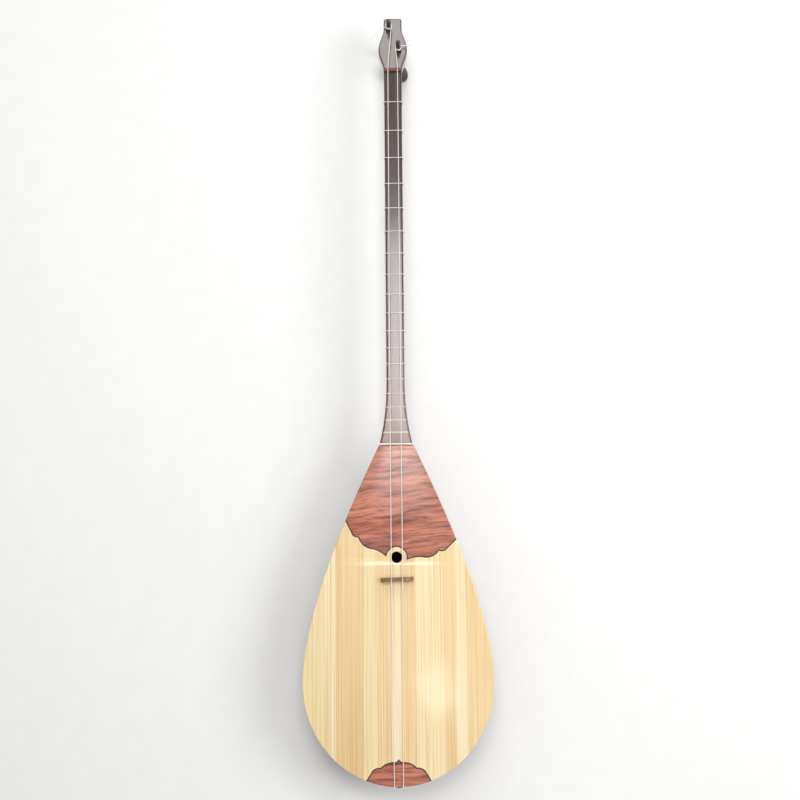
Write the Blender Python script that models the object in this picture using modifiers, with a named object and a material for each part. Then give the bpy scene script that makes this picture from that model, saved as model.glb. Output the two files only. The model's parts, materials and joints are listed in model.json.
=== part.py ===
"""A dombra, a long-necked lute with two strings, lying on its back.

Lengths are in metres. +X is to the right seen from the front, +Y runs from the
body to the head, and +Z points out of the soundboard. The origin is the middle
of the flat on the central stave, where the bowl rests.

Places along the instrument are distances from the front edge of the nut
towards the tail. Heights are counted from the face of the soundboard.
"""
import math

import bmesh
import bpy
import numpy as np
from mathutils import Matrix, Vector
from mathutils.geometry import interpolate_bezier

# Driving dimensions
SCALE_LENGTH = 0.640            # nut to the bridge in its playing place
FRET_COUNT = 19
TIED_FRETS = 16                 # the others are glued bars
RIB_COUNT = 9
GAP = 0.0003                    # between pieces that touch

# Body, seen from the front
JOINT = SCALE_LENGTH * (1 - 2 ** (-FRET_COUNT / 12))
JOINT_HALF_WIDTH = 0.0182
FLANK_SLOPE = 0.485             # half-width gained per length, at the joint
FLANK_HANDLES = (0.060, 0.075)  # reach of the curve's handles, at the joint and at the widest place
WIDEST = 0.680
HALF_WIDTH = 0.1018
TAIL_RUN = 0.1069               # widest place to the tail, a quarter of an ellipse
FLANK_STEPS = 16
TAIL_STEPS = 12

# Body, seen from the side
BOWL_DEPTH = 0.064
HEEL_DEPTH = 0.0235
FLAT_START = 0.620              # the bowl keeps its full depth from here to the widest place
HEEL_HANDLES = ((0.045, 0.016), (0.075, 0.0))
WALL = 0.003
BOARD_THICK = 0.003
CAP_ANGLE = math.radians(75)    # where the staves end, along the tail's ellipse
POLE_ANGLE = math.radians(89)
SEAM_INSET = 0.6 * GAP          # from a seam to the side of a stave
INNER_INSET = WALL + 1.5 * GAP  # from the bowl's skin to the pieces inside it

# Inside the body
NECK_BLOCK_LENGTH = 0.038
TAIL_BLOCK_START = math.radians(36)
LINING = (0.0045, 0.008)        # width and height
LINING_FOOT = 0.35              # width at the foot, as a share of the width at the top
LINING_SPAN = (0.470, math.radians(35))
BRACE_PLACES = (("brace_upper", 0.604), ("brace_middle", 0.668), ("brace_lower", 0.728))
BRACE = (0.006, 0.009)          # width and height
BRACE_END = (0.018, 0.003)      # the tapered end: its length, and the height at its tip
BRACE_CLEAR = 0.003             # from the tip to the lining

# Neck and fingerboard
NUT_HALF_WIDTH = 0.01025
NECK_HALF_WIDTH = 0.0100
NECK_TAPER_END = 0.060
NECK_FLARE_START = 0.352
NECK_FLARE_POWER = 2.4
NECK_BACK = ((-0.004, -0.0165), (0.060, -0.0172), (0.340, -0.0190), (0.385, -0.0209), (JOINT, -0.0268))
BOARD_TOP = 0.0008              # fingerboard above the soundboard
FINGERBOARD_THICK = 0.005
SHOULDER = 0.0022               # rounding along the fingerboard's edges
NECK_ROUNDNESS = (0.8, 0.9)     # powers of the back's section, across and down; 1 is half an ellipse
NECK_STEPS = 22
NECK_SIDES = 10

# Nut and frets
NUT_LENGTH = 0.004
NUT_TOP = 0.0035
NUT_INSET = 0.0003              # narrower than the neck at each side
NUT_CORNER = 0.0015
TIED_FRET_RADIUS = 0.0004
BAR_FRET = (0.0013, 0.0009)     # width and height
END_FRET = (0.0020, 0.0009)     # the last bar, in the joint of neck and body
BAR_CORNER = (0.0006, 0.0004)

# Head
HEAD_TILT = math.radians(10)
HEAD_DROP = -0.0015             # its face at the nut
HEAD_LENGTH = 0.0694
HEAD_SWELL_LENGTH = 0.0550
HEAD_END_HALF_WIDTH = 0.0105
HEAD_SWELL = 0.0060
HEAD_SWELL_POWER = 1.7
HEAD_CORNER = 0.003
HEAD_THICK = 0.013
HEAD_EDGE = 0.0016

# Pegs: side, place across and along the head, direction of winding, and the winding's angle
# down to the loose end, whose straight parts are (length, heading). It rises by a share of its length.
PEGS = (
    ("left", -0.0046, 0.0550, 1, math.radians(846)),
    ("right", 0.0066, 0.0261, -1, math.radians(810)),
)
LOOSE_ENDS = {
    "left": (((0.0135, math.radians(216)), (0.0115, math.radians(234))), -0.065),
    "right": (((0.0140, 0.0),), 0.03),
}
LOOSE_END_STEPS = 4
POST_HEIGHT = 0.0162
POST_RADII = (0.0026, 0.0030, 0.0035)   # near the tip, at the face, at the back of the head
COLLAR = (0.0052, 0.0030)               # radius and height
STEM_RADII = (0.0029, 0.0027, 0.0036)   # below the collar, half-way, over the wing
STEM_END = (0.0024, 0.002)              # radius and depth of its end, which is inside the wing
WING = (0.0105, 0.0150, 0.0060)         # half-width, half-height, thickness
WING_TAPER = 0.14                       # how much narrower it gets towards its top
WING_LIFT = 0.0006                      # over the ground
PEG_CLEARANCE = 0.00025

# Strings
STRING_RADIUS = 0.00045
STRING_NUT = 0.0055             # half the spacing at the nut, the bridge and the tail
STRING_BRIDGE = 0.0060
STRING_TAIL = 0.0047
STRING_NUT_HEIGHT = 0.0028
STRING_BRIDGE_HEIGHT = 0.0098
LEAD_ANGLE = math.radians(200)  # the part of the string that lies against the post
WINDING_TOP = 0.0062
WINDING_PITCH = 0.00145
LOOP_POINTS = 24
TAIL_BEND = 0.0022              # radius of the string's bend over the edge of the tail
TAIL_BEND_PLACE = (0.0010, -0.0010)     # its centre: ahead of the edge, and height

# Bridge
BRIDGE_PARKED = 0.5719
BRIDGE_TURN = math.radians(1.9)
BRIDGE_HALF_WIDTH = 0.0177
BRIDGE_HEIGHT = 0.0102
BRIDGE_THICK = 0.0042
BRIDGE_WAIST = (0.0085, 0.0024)  # half-width and thickness of the thin middle
BRIDGE_WAIST_FOOT = 0.0048
BRIDGE_ARCH = ((0.0, 0.0034), (0.0045, 0.0031), (0.0078, 0.0018), (0.0092, 0.0))
BRIDGE_BACK = ((0.0, 0.0), (0.0, 0.0042), (0.0035, 0.0075), (0.0079, 0.0098))   # inwards, and height

# Tail pin
PIN_DEPTH = -0.0153
PIN_RADIUS = 0.0030
PIN_HEAD_RADIUS = 0.0046
PIN_SHANK = 0.018
PIN_GROOVE = 0.7868
PIN_END = 0.7912

# Sound hole and inlays. Each line of scallops is its right half: across, towards the neck,
# and the rise of the arc that leads to the next point.
HOLE_PLACE = 0.5487
HOLE_SIDE = -0.0005
HOLE_RADIUS = 0.00605
RING_RADIUS = 0.0116
INLAY_THICK = 0.0012
PURFLING_WIDTH = 0.0013
ARC_STEP = 0.0028               # length of the straight parts that draw a scallop
RING_STEPS = 12
MITRE_LIMIT = 0.6
UPPER_TURN = math.radians(-9.6)
UPPER_SCALLOPS = (
    (0.0116, -0.0002, 0.0010),
    (0.0270, 0.0052, -0.0034),
    (0.0436, 0.0150, -0.0009),
    (0.0505, 0.0162, 0.0),
    (0.0820, 0.0580, 0.0),
)
LOWER_SCALLOPS = (
    (0.0, 0.0275, -0.0004),
    (0.0034, 0.0248, 0.0019),
    (0.0189, 0.0190, 0.0014),
    (0.0280, 0.0155, 0.0002),
    (0.0390, -0.0030, 0.0),
)

# Colour, roughness and metallic value of each material
MATERIALS = {
    "spruce": ((0.86, 0.72, 0.48), 0.25, 0.0),
    "red_wood": ((0.47, 0.14, 0.07), 0.25, 0.0),
    "black_wood": ((0.02, 0.015, 0.012), 0.3, 0.0),
    "dark_wood": ((0.07, 0.028, 0.02), 0.2, 0.0),
    "head_wood": ((0.09, 0.05, 0.035), 0.2, 0.0),
    "bowl_wood": ((0.24, 0.09, 0.045), 0.25, 0.0),
    "pale_wood": ((0.66, 0.50, 0.30), 0.6, 0.0),
    "bridge_wood": ((0.42, 0.24, 0.10), 0.5, 0.0),
    "nut_wood": ((0.24, 0.06, 0.035), 0.3, 0.0),
    "peg_wood": ((0.015, 0.012, 0.012), 0.2, 0.0),
    "nylon": ((0.86, 0.84, 0.80), 0.3, 0.0),
    "bone": ((0.87, 0.84, 0.76), 0.35, 0.0),
}

# The frame's origin is at this distance from the nut
REST_FROM_NUT = (FLAT_START + WIDEST) / 2


def seam_angles():
    """Angles of the seams between staves, which are equally wide at the widest place."""
    fine = np.linspace(0, math.pi, 361)
    across = HALF_WIDTH * np.cos(fine)
    down = BOWL_DEPTH * np.sin(fine)
    run = np.concatenate(([0], np.cumsum(np.hypot(np.diff(across), np.diff(down)))))
    return np.interp(np.linspace(0, run[-1], RIB_COUNT + 1), run, fine)


SEAMS = seam_angles()
RIM_Z = BOWL_DEPTH * math.sin(SEAMS[RIB_COUNT // 2])
TOP_Z = RIM_Z + GAP + BOARD_THICK


def y_at(distance):
    """Place in the frame of a distance from the nut."""
    return REST_FROM_NUT - distance


def z_at(height):
    """Place in the frame of a height above the soundboard."""
    return TOP_Z + height


HEAD_FRAME = (
    Matrix.Translation((0, y_at(-NUT_LENGTH), z_at(HEAD_DROP))) @ Matrix.Rotation(-HEAD_TILT, 4, "X")
)


def clear_scene():
    for obj in list(bpy.data.objects):
        bpy.data.objects.remove(obj, do_unlink=True)


def make_collection(name):
    collection = bpy.data.collections.new(name)
    bpy.context.scene.collection.children.link(collection)
    return collection


def make_materials():
    made = {}
    for name, (color, roughness, metallic) in MATERIALS.items():
        material = bpy.data.materials.new(name)
        material.use_nodes = True
        shader = material.node_tree.nodes["Principled BSDF"]
        shader.inputs["Base Color"].default_value = (*color, 1)
        shader.inputs["Roughness"].default_value = roughness
        shader.inputs["Metallic"].default_value = metallic
        made[name] = material
    return made


clear_scene()
PARTS = make_collection("dombra")
CUTTERS = make_collection("cutters")
FINISH = make_materials()


# Helpers for shapes

def add_object(name, data, material=None, collection=None):
    """Link an object with this data to the parts, or to another collection."""
    obj = bpy.data.objects.new(name, data)
    (collection or PARTS).objects.link(obj)
    if material:
        data.materials.append(FINISH[material])
    return obj


def loft(name, rings, material):
    """A closed solid through rings that have equal numbers of points."""
    mesh = bpy.data.meshes.new(name)
    shape = bmesh.new()
    rows = [[shape.verts.new(point) for point in ring] for ring in rings]
    count = len(rows[0])
    for row, following in zip(rows, rows[1:]):
        for i in range(count):
            j = (i + 1) % count
            shape.faces.new((row[i], row[j], following[j], following[i]))
    shape.faces.new(rows[0])
    shape.faces.new(rows[-1])
    bmesh.ops.recalc_face_normals(shape, faces=shape.faces)
    shape.to_mesh(mesh)
    shape.free()
    return add_object(name, mesh, material)


def smooth(obj, angle=30):
    """Shade the mesh smooth, apart from edges sharper than the angle in degrees."""
    obj.data.shade_smooth()
    obj.data.set_sharp_from_angle(angle=math.radians(angle))


def flat_piece(name, outline, low, high, material=None, collection=None):
    """A mesh from a flat outline, between two heights in its own frame."""
    curve = bpy.data.curves.new(name, "CURVE")
    curve.dimensions = "2D"
    curve.fill_mode = "BOTH"
    curve.extrude = (high - low) / 2
    spline = curve.splines.new("POLY")
    spline.points.add(len(outline) - 1)
    for point, place in zip(spline.points, outline):
        point.co = (place[0], place[1], 0, 1)
    spline.use_cyclic_u = True
    drawn = bpy.data.objects.new(name, curve)
    drawn.location.z = (low + high) / 2
    bpy.context.scene.collection.objects.link(drawn)
    bpy.context.view_layer.update()
    evaluated = drawn.evaluated_get(bpy.context.evaluated_depsgraph_get())
    mesh = bpy.data.meshes.new_from_object(evaluated)
    mesh.transform(drawn.matrix_world)
    bpy.data.objects.remove(drawn, do_unlink=True)
    bpy.data.curves.remove(curve)
    shape = bmesh.new()
    shape.from_mesh(mesh)
    bmesh.ops.remove_doubles(shape, verts=shape.verts, dist=0.00001)
    bmesh.ops.recalc_face_normals(shape, faces=shape.faces)
    shape.to_mesh(mesh)
    shape.free()
    mesh.materials.clear()
    mesh.name = name
    return add_object(name, mesh, material, collection)


def tube(name, points, radius, material, resolution=2, closed=False):
    """A round tube through the points, with filled ends unless it is closed."""
    curve = bpy.data.curves.new(name, "CURVE")
    curve.dimensions = "3D"
    curve.bevel_depth = radius
    curve.bevel_resolution = resolution
    curve.use_fill_caps = True
    spline = curve.splines.new("POLY")
    spline.points.add(len(points) - 1)
    for point, place in zip(spline.points, points):
        point.co = (*place, 1)
    spline.use_cyclic_u = closed
    spline.use_smooth = True
    return add_object(name, curve, material)


def turned(name, profile, material=None, collection=None, steps=20):
    """A solid turned about Z from a profile of (radius, height), top to bottom."""
    mesh = bpy.data.meshes.new(name)
    edges = [(i, i + 1) for i in range(len(profile) - 1)]
    mesh.from_pydata([(radius, 0, height) for radius, height in profile], edges, [])
    obj = add_object(name, mesh, material, collection)
    screw = obj.modifiers.new("turn", "SCREW")
    screw.steps = steps
    screw.render_steps = steps
    screw.use_merge_vertices = True
    screw.merge_threshold = 0.00001
    screw.use_smooth_shade = True
    return obj


def as_cutter(obj):
    obj.hide_render = True
    obj.display_type = "WIRE"
    return obj


def cut(obj, cutter, operation="DIFFERENCE"):
    boolean = obj.modifiers.new(operation.lower(), "BOOLEAN")
    boolean.operation = operation
    boolean.object = cutter
    boolean.solver = "EXACT"


def box_cutter(name, low, high):
    """A box between two corners."""
    outline = [(low[0], low[1]), (high[0], low[1]), (high[0], high[1]), (low[0], high[1])]
    return as_cutter(flat_piece(name, outline, low[2], high[2], collection=CUTTERS))


def round_edges(obj, width, segments=2, angle=50):
    bevel = obj.modifiers.new("round edges", "BEVEL")
    bevel.width = width
    bevel.segments = segments
    bevel.limit_method = "ANGLE"
    bevel.angle_limit = math.radians(angle)


# Shape of the body

def flank_curve():
    """Distance and half-width along the flank, from the joint to the widest place."""
    first, last = FLANK_HANDLES
    start = Vector((JOINT, JOINT_HALF_WIDTH))
    end = Vector((WIDEST, HALF_WIDTH))
    lean = Vector((first, first * FLANK_SLOPE))
    return np.array(interpolate_bezier(start, start + lean, end - Vector((last, 0)), end, 80))


def keel_curve():
    """Distance and depth along the middle of the back, from the heel to the flat."""
    start = Vector((JOINT, HEEL_DEPTH))
    end = Vector((FLAT_START, BOWL_DEPTH))
    first, last = (Vector(handle) for handle in HEEL_HANDLES)
    return np.array(interpolate_bezier(start, start + first, end - last, end, 60))


FLANK = flank_curve()
KEEL = keel_curve()


def half_width(distance):
    return float(np.interp(distance, FLANK[:, 0], FLANK[:, 1]))


def flank_station(distance, inset=0.0):
    """Distance, half-width and depth of the bowl between the joint and the widest place."""
    depth = float(np.interp(distance, KEEL[:, 0], KEEL[:, 1]))
    return distance, half_width(distance) - inset, depth - inset


def tail_station(angle, inset=0.0):
    """The same behind the widest place, where the bowl is part of an ellipsoid."""
    side = math.cos(angle)
    run = (TAIL_RUN - inset) * math.sin(angle)
    return WIDEST + run, (HALF_WIDTH - inset) * side, (BOWL_DEPTH - inset) * side


def stations(start, end, inset=0.0):
    """Stations from a distance on the flank to an angle on the tail; None leaves a side out."""
    made = []
    if start is not None:
        steps = max(2, round(FLANK_STEPS * (WIDEST - start) / (WIDEST - JOINT)))
        made += [flank_station(d, inset) for d in np.linspace(start, WIDEST, steps + 1)]
    if end is not None:
        steps = max(2, round(TAIL_STEPS * end / (math.pi / 2)))
        angles = np.linspace(0, end, steps + 1)[1:]
        made += [tail_station(angle, inset) for angle in angles]
    return made


def bowl_point(station, seam):
    distance, side, depth = station
    return Vector((side * math.cos(seam), y_at(distance), RIM_Z - depth * math.sin(seam)))


def body_outline(start):
    """Outline of the soundboard from this distance to the tail, as (x, y)."""
    right = [bowl_point(station, 0).xy for station in stations(start, math.pi / 2)]
    left = [Vector((-point.x, point.y)) for point in reversed(right[:-1])]
    return right + left


# The bowl

def make_ribs():
    outer = stations(JOINT + GAP, CAP_ANGLE)
    inner = stations(JOINT + GAP, CAP_ANGLE, WALL)
    for number, (seam, following) in enumerate(zip(SEAMS, SEAMS[1:]), start=1):
        rings = []
        for outside, inside in zip(outer, inner):
            ring = []
            for station, angles in ((outside, (seam, following)), (inside, (following, seam))):
                first, second = (bowl_point(station, angle) for angle in angles)
                inward = (second - first).normalized() * SEAM_INSET
                ring += [first + inward, second - inward]
            rings.append(ring)
        loft(f"rib_{number}", rings, "bowl_wood")


def arch(station):
    """The bowl's section at a station, from rim to rim."""
    return [bowl_point(station, seam) for seam in SEAMS]


def pin_hole(name, radius):
    """A round cutter along the tail pin's axis."""
    outside = 0.01
    reach = outside + PIN_SHANK + 2 * GAP
    profile = [(0, reach), (radius, reach), (radius, 0), (0, 0)]
    cutter = as_cutter(turned(name, profile, collection=CUTTERS))
    cutter.location = (0, y_at(PIN_GROOVE + outside), z_at(PIN_DEPTH))
    cutter.rotation_euler.x = -math.pi / 2
    return cutter


def make_tail_cap():
    gap_angle = 2 * GAP / TAIL_RUN
    rings = []
    for angle in np.linspace(CAP_ANGLE + gap_angle, POLE_ANGLE, 5):
        outside = arch(tail_station(angle))
        inside = arch(tail_station(angle, WALL))
        rings.append(outside + inside[::-1])
    cap = loft("tail_cap", rings, "dark_wood")
    cut(cap, pin_hole("cap_hole", PIN_RADIUS + GAP))
    smooth(cap)


def make_blocks():
    places = np.linspace(JOINT + GAP, JOINT + NECK_BLOCK_LENGTH, 4)
    rings = [arch(flank_station(place, INNER_INSET)) for place in places]
    loft("neck_block", rings, "pale_wood")
    angles = np.linspace(TAIL_BLOCK_START, POLE_ANGLE, 8)
    rings = [arch(tail_station(angle, INNER_INSET)) for angle in angles]
    block = loft("tail_block", rings, "pale_wood")
    cut(block, pin_hole("block_hole", PIN_RADIUS + GAP))


def make_linings():
    """Strips along the inside of the rim, which carry the soundboard."""
    width, height = LINING
    for side, (rim, below) in (("right", (0, 1)), ("left", (RIB_COUNT, RIB_COUNT - 1))):
        rings = []
        inward = Vector((-width if side == "right" else width, 0, 0))
        for station in stations(*LINING_SPAN, INNER_INSET):
            top = bowl_point(station, SEAMS[rim])
            foot = bowl_point(station, SEAMS[below])
            low = top.lerp(foot, height / (top.z - foot.z))
            rings.append([top, low, low + inward * LINING_FOOT, top + inward])
        loft(f"lining_{side}", rings, "pale_wood")


def make_braces():
    width, height = BRACE
    for name, place in BRACE_PLACES:
        if place < WIDEST:
            reach = half_width(place)
        else:
            reach = HALF_WIDTH * math.sqrt(1 - ((place - WIDEST) / TAIL_RUN) ** 2)
        end = reach - WALL - LINING[0] - BRACE_CLEAR
        run, tip = BRACE_END
        slope = end - run
        outline = [(-end, 0), (-end, -tip), (-slope, -height), (slope, -height), (end, -tip), (end, 0)]
        brace = flat_piece(name, outline, -width / 2, width / 2, "pale_wood")
        brace.rotation_euler.x = math.pi / 2
        brace.location = (0, y_at(place), RIM_Z)


# The soundboard and its inlays

def arc_points(start, end, rise):
    """Points from start up to end, without end, on an arc of this rise to the left."""
    start, end = Vector(start), Vector(end)
    steps = max(2, round((end - start).length / ARC_STEP))
    if abs(rise) < 1e-6:
        return [start]
    chord = end - start
    half = chord.length / 2
    left = Vector((-chord.y, chord.x)).normalized()
    radius = (half * half + rise * rise) / (2 * rise)
    centre = start + chord / 2 - left * (radius - rise)
    spoke = start - centre
    spread = 2 * math.atan2(half, radius - rise)
    if rise < 0:
        spread = -2 * math.atan2(half, -(radius - rise))
    return [centre + Matrix.Rotation(-spread * i / steps, 2) @ spoke for i in range(steps)]


def right_half(scallops):
    """The right half of a line of scallops, from the middle outwards."""
    points = []
    for (x, y, rise), following in zip(scallops, scallops[1:]):
        points += arc_points((x, y), following[:2], rise)
    return points + [Vector(scallops[-1][:2])]


def mirrored(points):
    return [Vector((-point.x, point.y)) for point in reversed(points)]


def upper_line():
    """The line round the sound hole, in the frame, from left to right."""
    right = right_half(UPPER_SCALLOPS)
    ring = [
        Vector((RING_RADIUS * math.cos(angle), RING_RADIUS * math.sin(angle)))
        for angle in np.linspace(math.pi, 0, RING_STEPS + 1)[1:-1]
    ]
    turn = Matrix.Rotation(UPPER_TURN, 2)
    middle = Vector((HOLE_SIDE, y_at(HOLE_PLACE)))
    return [middle + turn @ point for point in mirrored(right) + ring + right]


def lower_line():
    """The line above the tail, in the frame, from left to right."""
    right = right_half(LOWER_SCALLOPS)
    tail = Vector((0, y_at(WIDEST + TAIL_RUN)))
    return [tail + point for point in mirrored(right)[:-1] + right]


def beside(line, distance):
    """The line moved sideways to its left, with mitred corners."""
    moved = []
    for i, point in enumerate(line):
        before = (point - line[max(i - 1, 0)]).normalized()
        after = (line[min(i + 1, len(line) - 1)] - point).normalized()
        if i == 0:
            before = after
        if i == len(line) - 1:
            after = before
        along = (before + after).normalized()
        left = Vector((-along.y, along.x))
        mitre = max(along.dot(after), MITRE_LIMIT)
        moved.append(point + left * distance / mitre)
    return moved


def inlay_regions(line, plate_side, far):
    """Outlines of the recess, the plate and the purfling of one inlay."""
    half = PURFLING_WIDTH / 2
    beyond = 1.5 * HALF_WIDTH
    closing = [Vector((beyond, far)), Vector((-beyond, far))]
    recess = beside(line, -plate_side * (half + GAP)) + closing
    plate = beside(line, plate_side * (half + GAP)) + closing
    band = beside(line, half) + beside(line, -half)[::-1]
    return recess, plate, band


def make_soundboard():
    start = JOINT + END_FRET[0] / 2 + GAP
    outline = body_outline(start)
    low = z_at(-BOARD_THICK)
    board = flat_piece("soundboard", outline, low, z_at(0), "spruce")
    limit = as_cutter(flat_piece("body_limit", outline, low - 0.01, z_at(0.01), collection=CUTTERS))
    inlays = (
        ("upper", upper_line(), 1, y_at(JOINT - 0.05)),
        ("lower", lower_line(), -1, y_at(WIDEST + TAIL_RUN + 0.05)),
    )
    for name, line, plate_side, far in inlays:
        recess, plate, band = inlay_regions(line, plate_side, far)
        floor = z_at(-INLAY_THICK)
        cutter = flat_piece(f"{name}_recess", recess, floor - GAP, z_at(0.01), collection=CUTTERS)
        cut(board, as_cutter(cutter))
        plate = flat_piece(f"{name}_plate", plate, floor, z_at(0), "red_wood")
        cut(plate, limit, "INTERSECT")
        purfling = flat_piece(f"purfling_{name}", band, floor, z_at(0), "black_wood")
        cut(purfling, limit, "INTERSECT")
    profile = [(0, z_at(0.01)), (HOLE_RADIUS, z_at(0.01)), (HOLE_RADIUS, low - 0.01), (0, low - 0.01)]
    hole = as_cutter(turned("sound_hole", profile, collection=CUTTERS, steps=32))
    hole.location = (HOLE_SIDE, y_at(HOLE_PLACE), 0)
    cut(board, hole)


# The neck

def neck_half_width(distance):
    """Half-width of the neck: a slight taper, straight, then the flare to the body."""
    if distance < NECK_TAPER_END:
        share = max(distance, 0) / NECK_TAPER_END
        return NUT_HALF_WIDTH + (NECK_HALF_WIDTH - NUT_HALF_WIDTH) * share
    if distance < NECK_FLARE_START:
        return NECK_HALF_WIDTH
    share = (distance - NECK_FLARE_START) / (JOINT - NECK_FLARE_START)
    return NECK_HALF_WIDTH + (JOINT_HALF_WIDTH - NECK_HALF_WIDTH) * share ** NECK_FLARE_POWER


def neck_back(distance):
    """Height of the back of the neck."""
    places, heights = zip(*NECK_BACK)
    return float(np.interp(distance, places, heights))


def neck_places():
    """Places of the neck's sections, closer together in the flare."""
    straight = np.linspace(-NUT_LENGTH, NECK_FLARE_START, NECK_STEPS // 2, endpoint=False)
    flare = np.linspace(NECK_FLARE_START, JOINT, NECK_STEPS // 2)
    return np.concatenate((straight, flare))


NECK_TOP = BOARD_TOP - FINGERBOARD_THICK - GAP


def neck_arch(distance, clear=0.0):
    """The round back of the neck from right to left, moved out by a clearance."""
    side = neck_half_width(distance)
    depth = NECK_TOP - neck_back(distance)
    side_power, depth_power = NECK_ROUNDNESS
    points = []
    for angle in np.linspace(0, math.pi, NECK_SIDES + 1):
        across = math.copysign(abs(math.cos(angle)) ** side_power, math.cos(angle))
        down = max(math.sin(angle), 0) ** depth_power
        height = NECK_TOP - (depth + clear) * down
        points.append(Vector(((side + clear) * across, y_at(distance), z_at(height))))
    return points


def fingerboard_arch(distance, clear=0.0):
    """The fingerboard's sides and rounded shoulders from left to right."""
    side = neck_half_width(distance)
    top = BOARD_TOP + clear
    centre = Vector((side - SHOULDER, 0, z_at(BOARD_TOP - SHOULDER)))
    right = []
    for angle in np.linspace(math.pi / 2, 0, 4):
        reach = SHOULDER + clear
        right.append(centre + Vector((reach * math.cos(angle), y_at(distance), reach * math.sin(angle))))
    left = [Vector((-point.x, point.y, point.z)) for point in reversed(right)]
    middle = Vector((0, y_at(distance), z_at(top)))
    return left + [middle] + right


def make_neck():
    rings = [neck_arch(place) for place in neck_places()]
    smooth(loft("neck", rings, "dark_wood"), 40)
    rings = []
    end = JOINT - END_FRET[0] / 2 - GAP
    for place in neck_places():
        place = min(max(place, GAP), end)
        if rings and abs(rings[-1][0].y - y_at(place)) < 1e-6:
            continue
        side = neck_half_width(place)
        foot = z_at(NECK_TOP + GAP)
        ring = fingerboard_arch(place)
        ring += [Vector((side, y_at(place), foot)), Vector((-side, y_at(place), foot))]
        rings.append(ring)
    smooth(loft("fingerboard", rings, "dark_wood"), 40)


def string_at_nut(side):
    """Where a string bends over the nut, a quarter of the nut's length from its back."""
    return Vector((side * STRING_NUT, y_at(-NUT_LENGTH * 0.75), z_at(STRING_NUT_HEIGHT)))


def make_nut():
    """The nut, with a groove for each string."""
    half = NUT_HALF_WIDTH - NUT_INSET
    foot = NECK_TOP + GAP
    right = [(half, foot), (half, NUT_TOP - NUT_CORNER), (half - NUT_CORNER, NUT_TOP)]
    outline = right + [(-x, z) for x, z in reversed(right)]
    nut = flat_piece("nut", outline, -NUT_LENGTH / 2 + GAP, NUT_LENGTH / 2, "nut_wood")
    nut.rotation_euler.x = math.pi / 2
    nut.location = (0, y_at(-NUT_LENGTH / 2), z_at(0))
    for side in (-1, 1):
        radius = STRING_RADIUS + GAP
        profile = [(0, 0.005), (radius, 0.005), (radius, -0.005), (0, -0.005)]
        groove = as_cutter(turned(f"nut_groove_{side}", profile, collection=CUTTERS, steps=12))
        groove.location = string_at_nut(side)
        groove.rotation_euler.x = math.pi / 2
        cut(nut, groove)
        low = (side * STRING_NUT - radius, y_at(NUT_LENGTH), z_at(STRING_NUT_HEIGHT))
        high = (side * STRING_NUT + radius, y_at(-2 * NUT_LENGTH), z_at(2 * NUT_TOP))
        cut(nut, box_cutter(f"nut_slot_{side}", low, high))


def make_frets():
    """Tied loops on the neck, then glued bars towards the body."""
    for number in range(1, FRET_COUNT + 1):
        place = SCALE_LENGTH * (1 - 2 ** (-number / 12))
        name = f"fret_{number:02d}"
        if number <= TIED_FRETS:
            clear = TIED_FRET_RADIUS + GAP
            loop = fingerboard_arch(place, clear) + neck_arch(place, clear)[1:-1]
            tube(name, loop, TIED_FRET_RADIUS, "nylon", resolution=1, closed=True)
            continue
        last = number == FRET_COUNT
        width, height = END_FRET if last else BAR_FRET
        low = z_at(-BOARD_THICK) if last else z_at(BOARD_TOP + GAP)
        reach = neck_half_width(place) - (0.0 if last else SHOULDER)
        top = z_at(BOARD_TOP + height)
        inward, down = BAR_CORNER
        right = [(reach, low), (reach, top - down), (reach - inward, top)]
        outline = right + [(-x, z) for x, z in reversed(right)]
        bar = flat_piece(name, outline, -width / 2, width / 2, "bone")
        bar.rotation_euler.x = math.pi / 2
        bar.location = (0, y_at(place), 0)
        round_edges(bar, 0.0003, segments=1)


# The head and its pegs

def head_outline():
    """The leaf-shaped outline in the head's frame, from the nut to the end and back."""
    right = []
    for place in np.linspace(-NUT_LENGTH, HEAD_SWELL_LENGTH, 16):
        share = math.sin(math.pi * max(place, 0) / HEAD_SWELL_LENGTH)
        side = HEAD_END_HALF_WIDTH + HEAD_SWELL * max(share, 0) ** HEAD_SWELL_POWER
        right.append(Vector((side, place)))
    corner = Vector((HEAD_END_HALF_WIDTH - HEAD_CORNER, HEAD_LENGTH - HEAD_CORNER))
    for angle in np.linspace(0, math.pi / 2, 5):
        right.append(corner + HEAD_CORNER * Vector((math.cos(angle), math.sin(angle))))
    return right + mirrored(right)


def post_radius(height):
    """Radius of a peg's tapered shaft at a height over the face of the head."""
    tip, face, back = POST_RADII
    return float(np.interp(height, (-HEAD_THICK, 0, POST_HEIGHT), (back, face, tip)))


def make_head():
    head = flat_piece("headstock", head_outline(), -HEAD_THICK, 0, "head_wood")
    head.matrix_world = HEAD_FRAME
    round_edges(head, HEAD_EDGE)
    face = y_at(-NUT_LENGTH)
    cut(head, box_cutter("neck_end", (-0.05, face - 0.05, 0), (0.05, face + GAP, TOP_Z + 0.05)))
    reach = 0.004
    for side, across, along, _, _ in PEGS:
        front = post_radius(0) + PEG_CLEARANCE
        back = post_radius(-HEAD_THICK) + PEG_CLEARANCE
        profile = [(0, reach), (front, reach), (front, 0), (back, -HEAD_THICK)]
        profile += [(back, -HEAD_THICK - reach), (0, -HEAD_THICK - reach)]
        hole = as_cutter(turned(f"peg_hole_{side}", profile, collection=CUTTERS))
        hole.matrix_world = HEAD_FRAME @ Matrix.Translation((across, along, 0))
        cut(head, hole)


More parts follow.
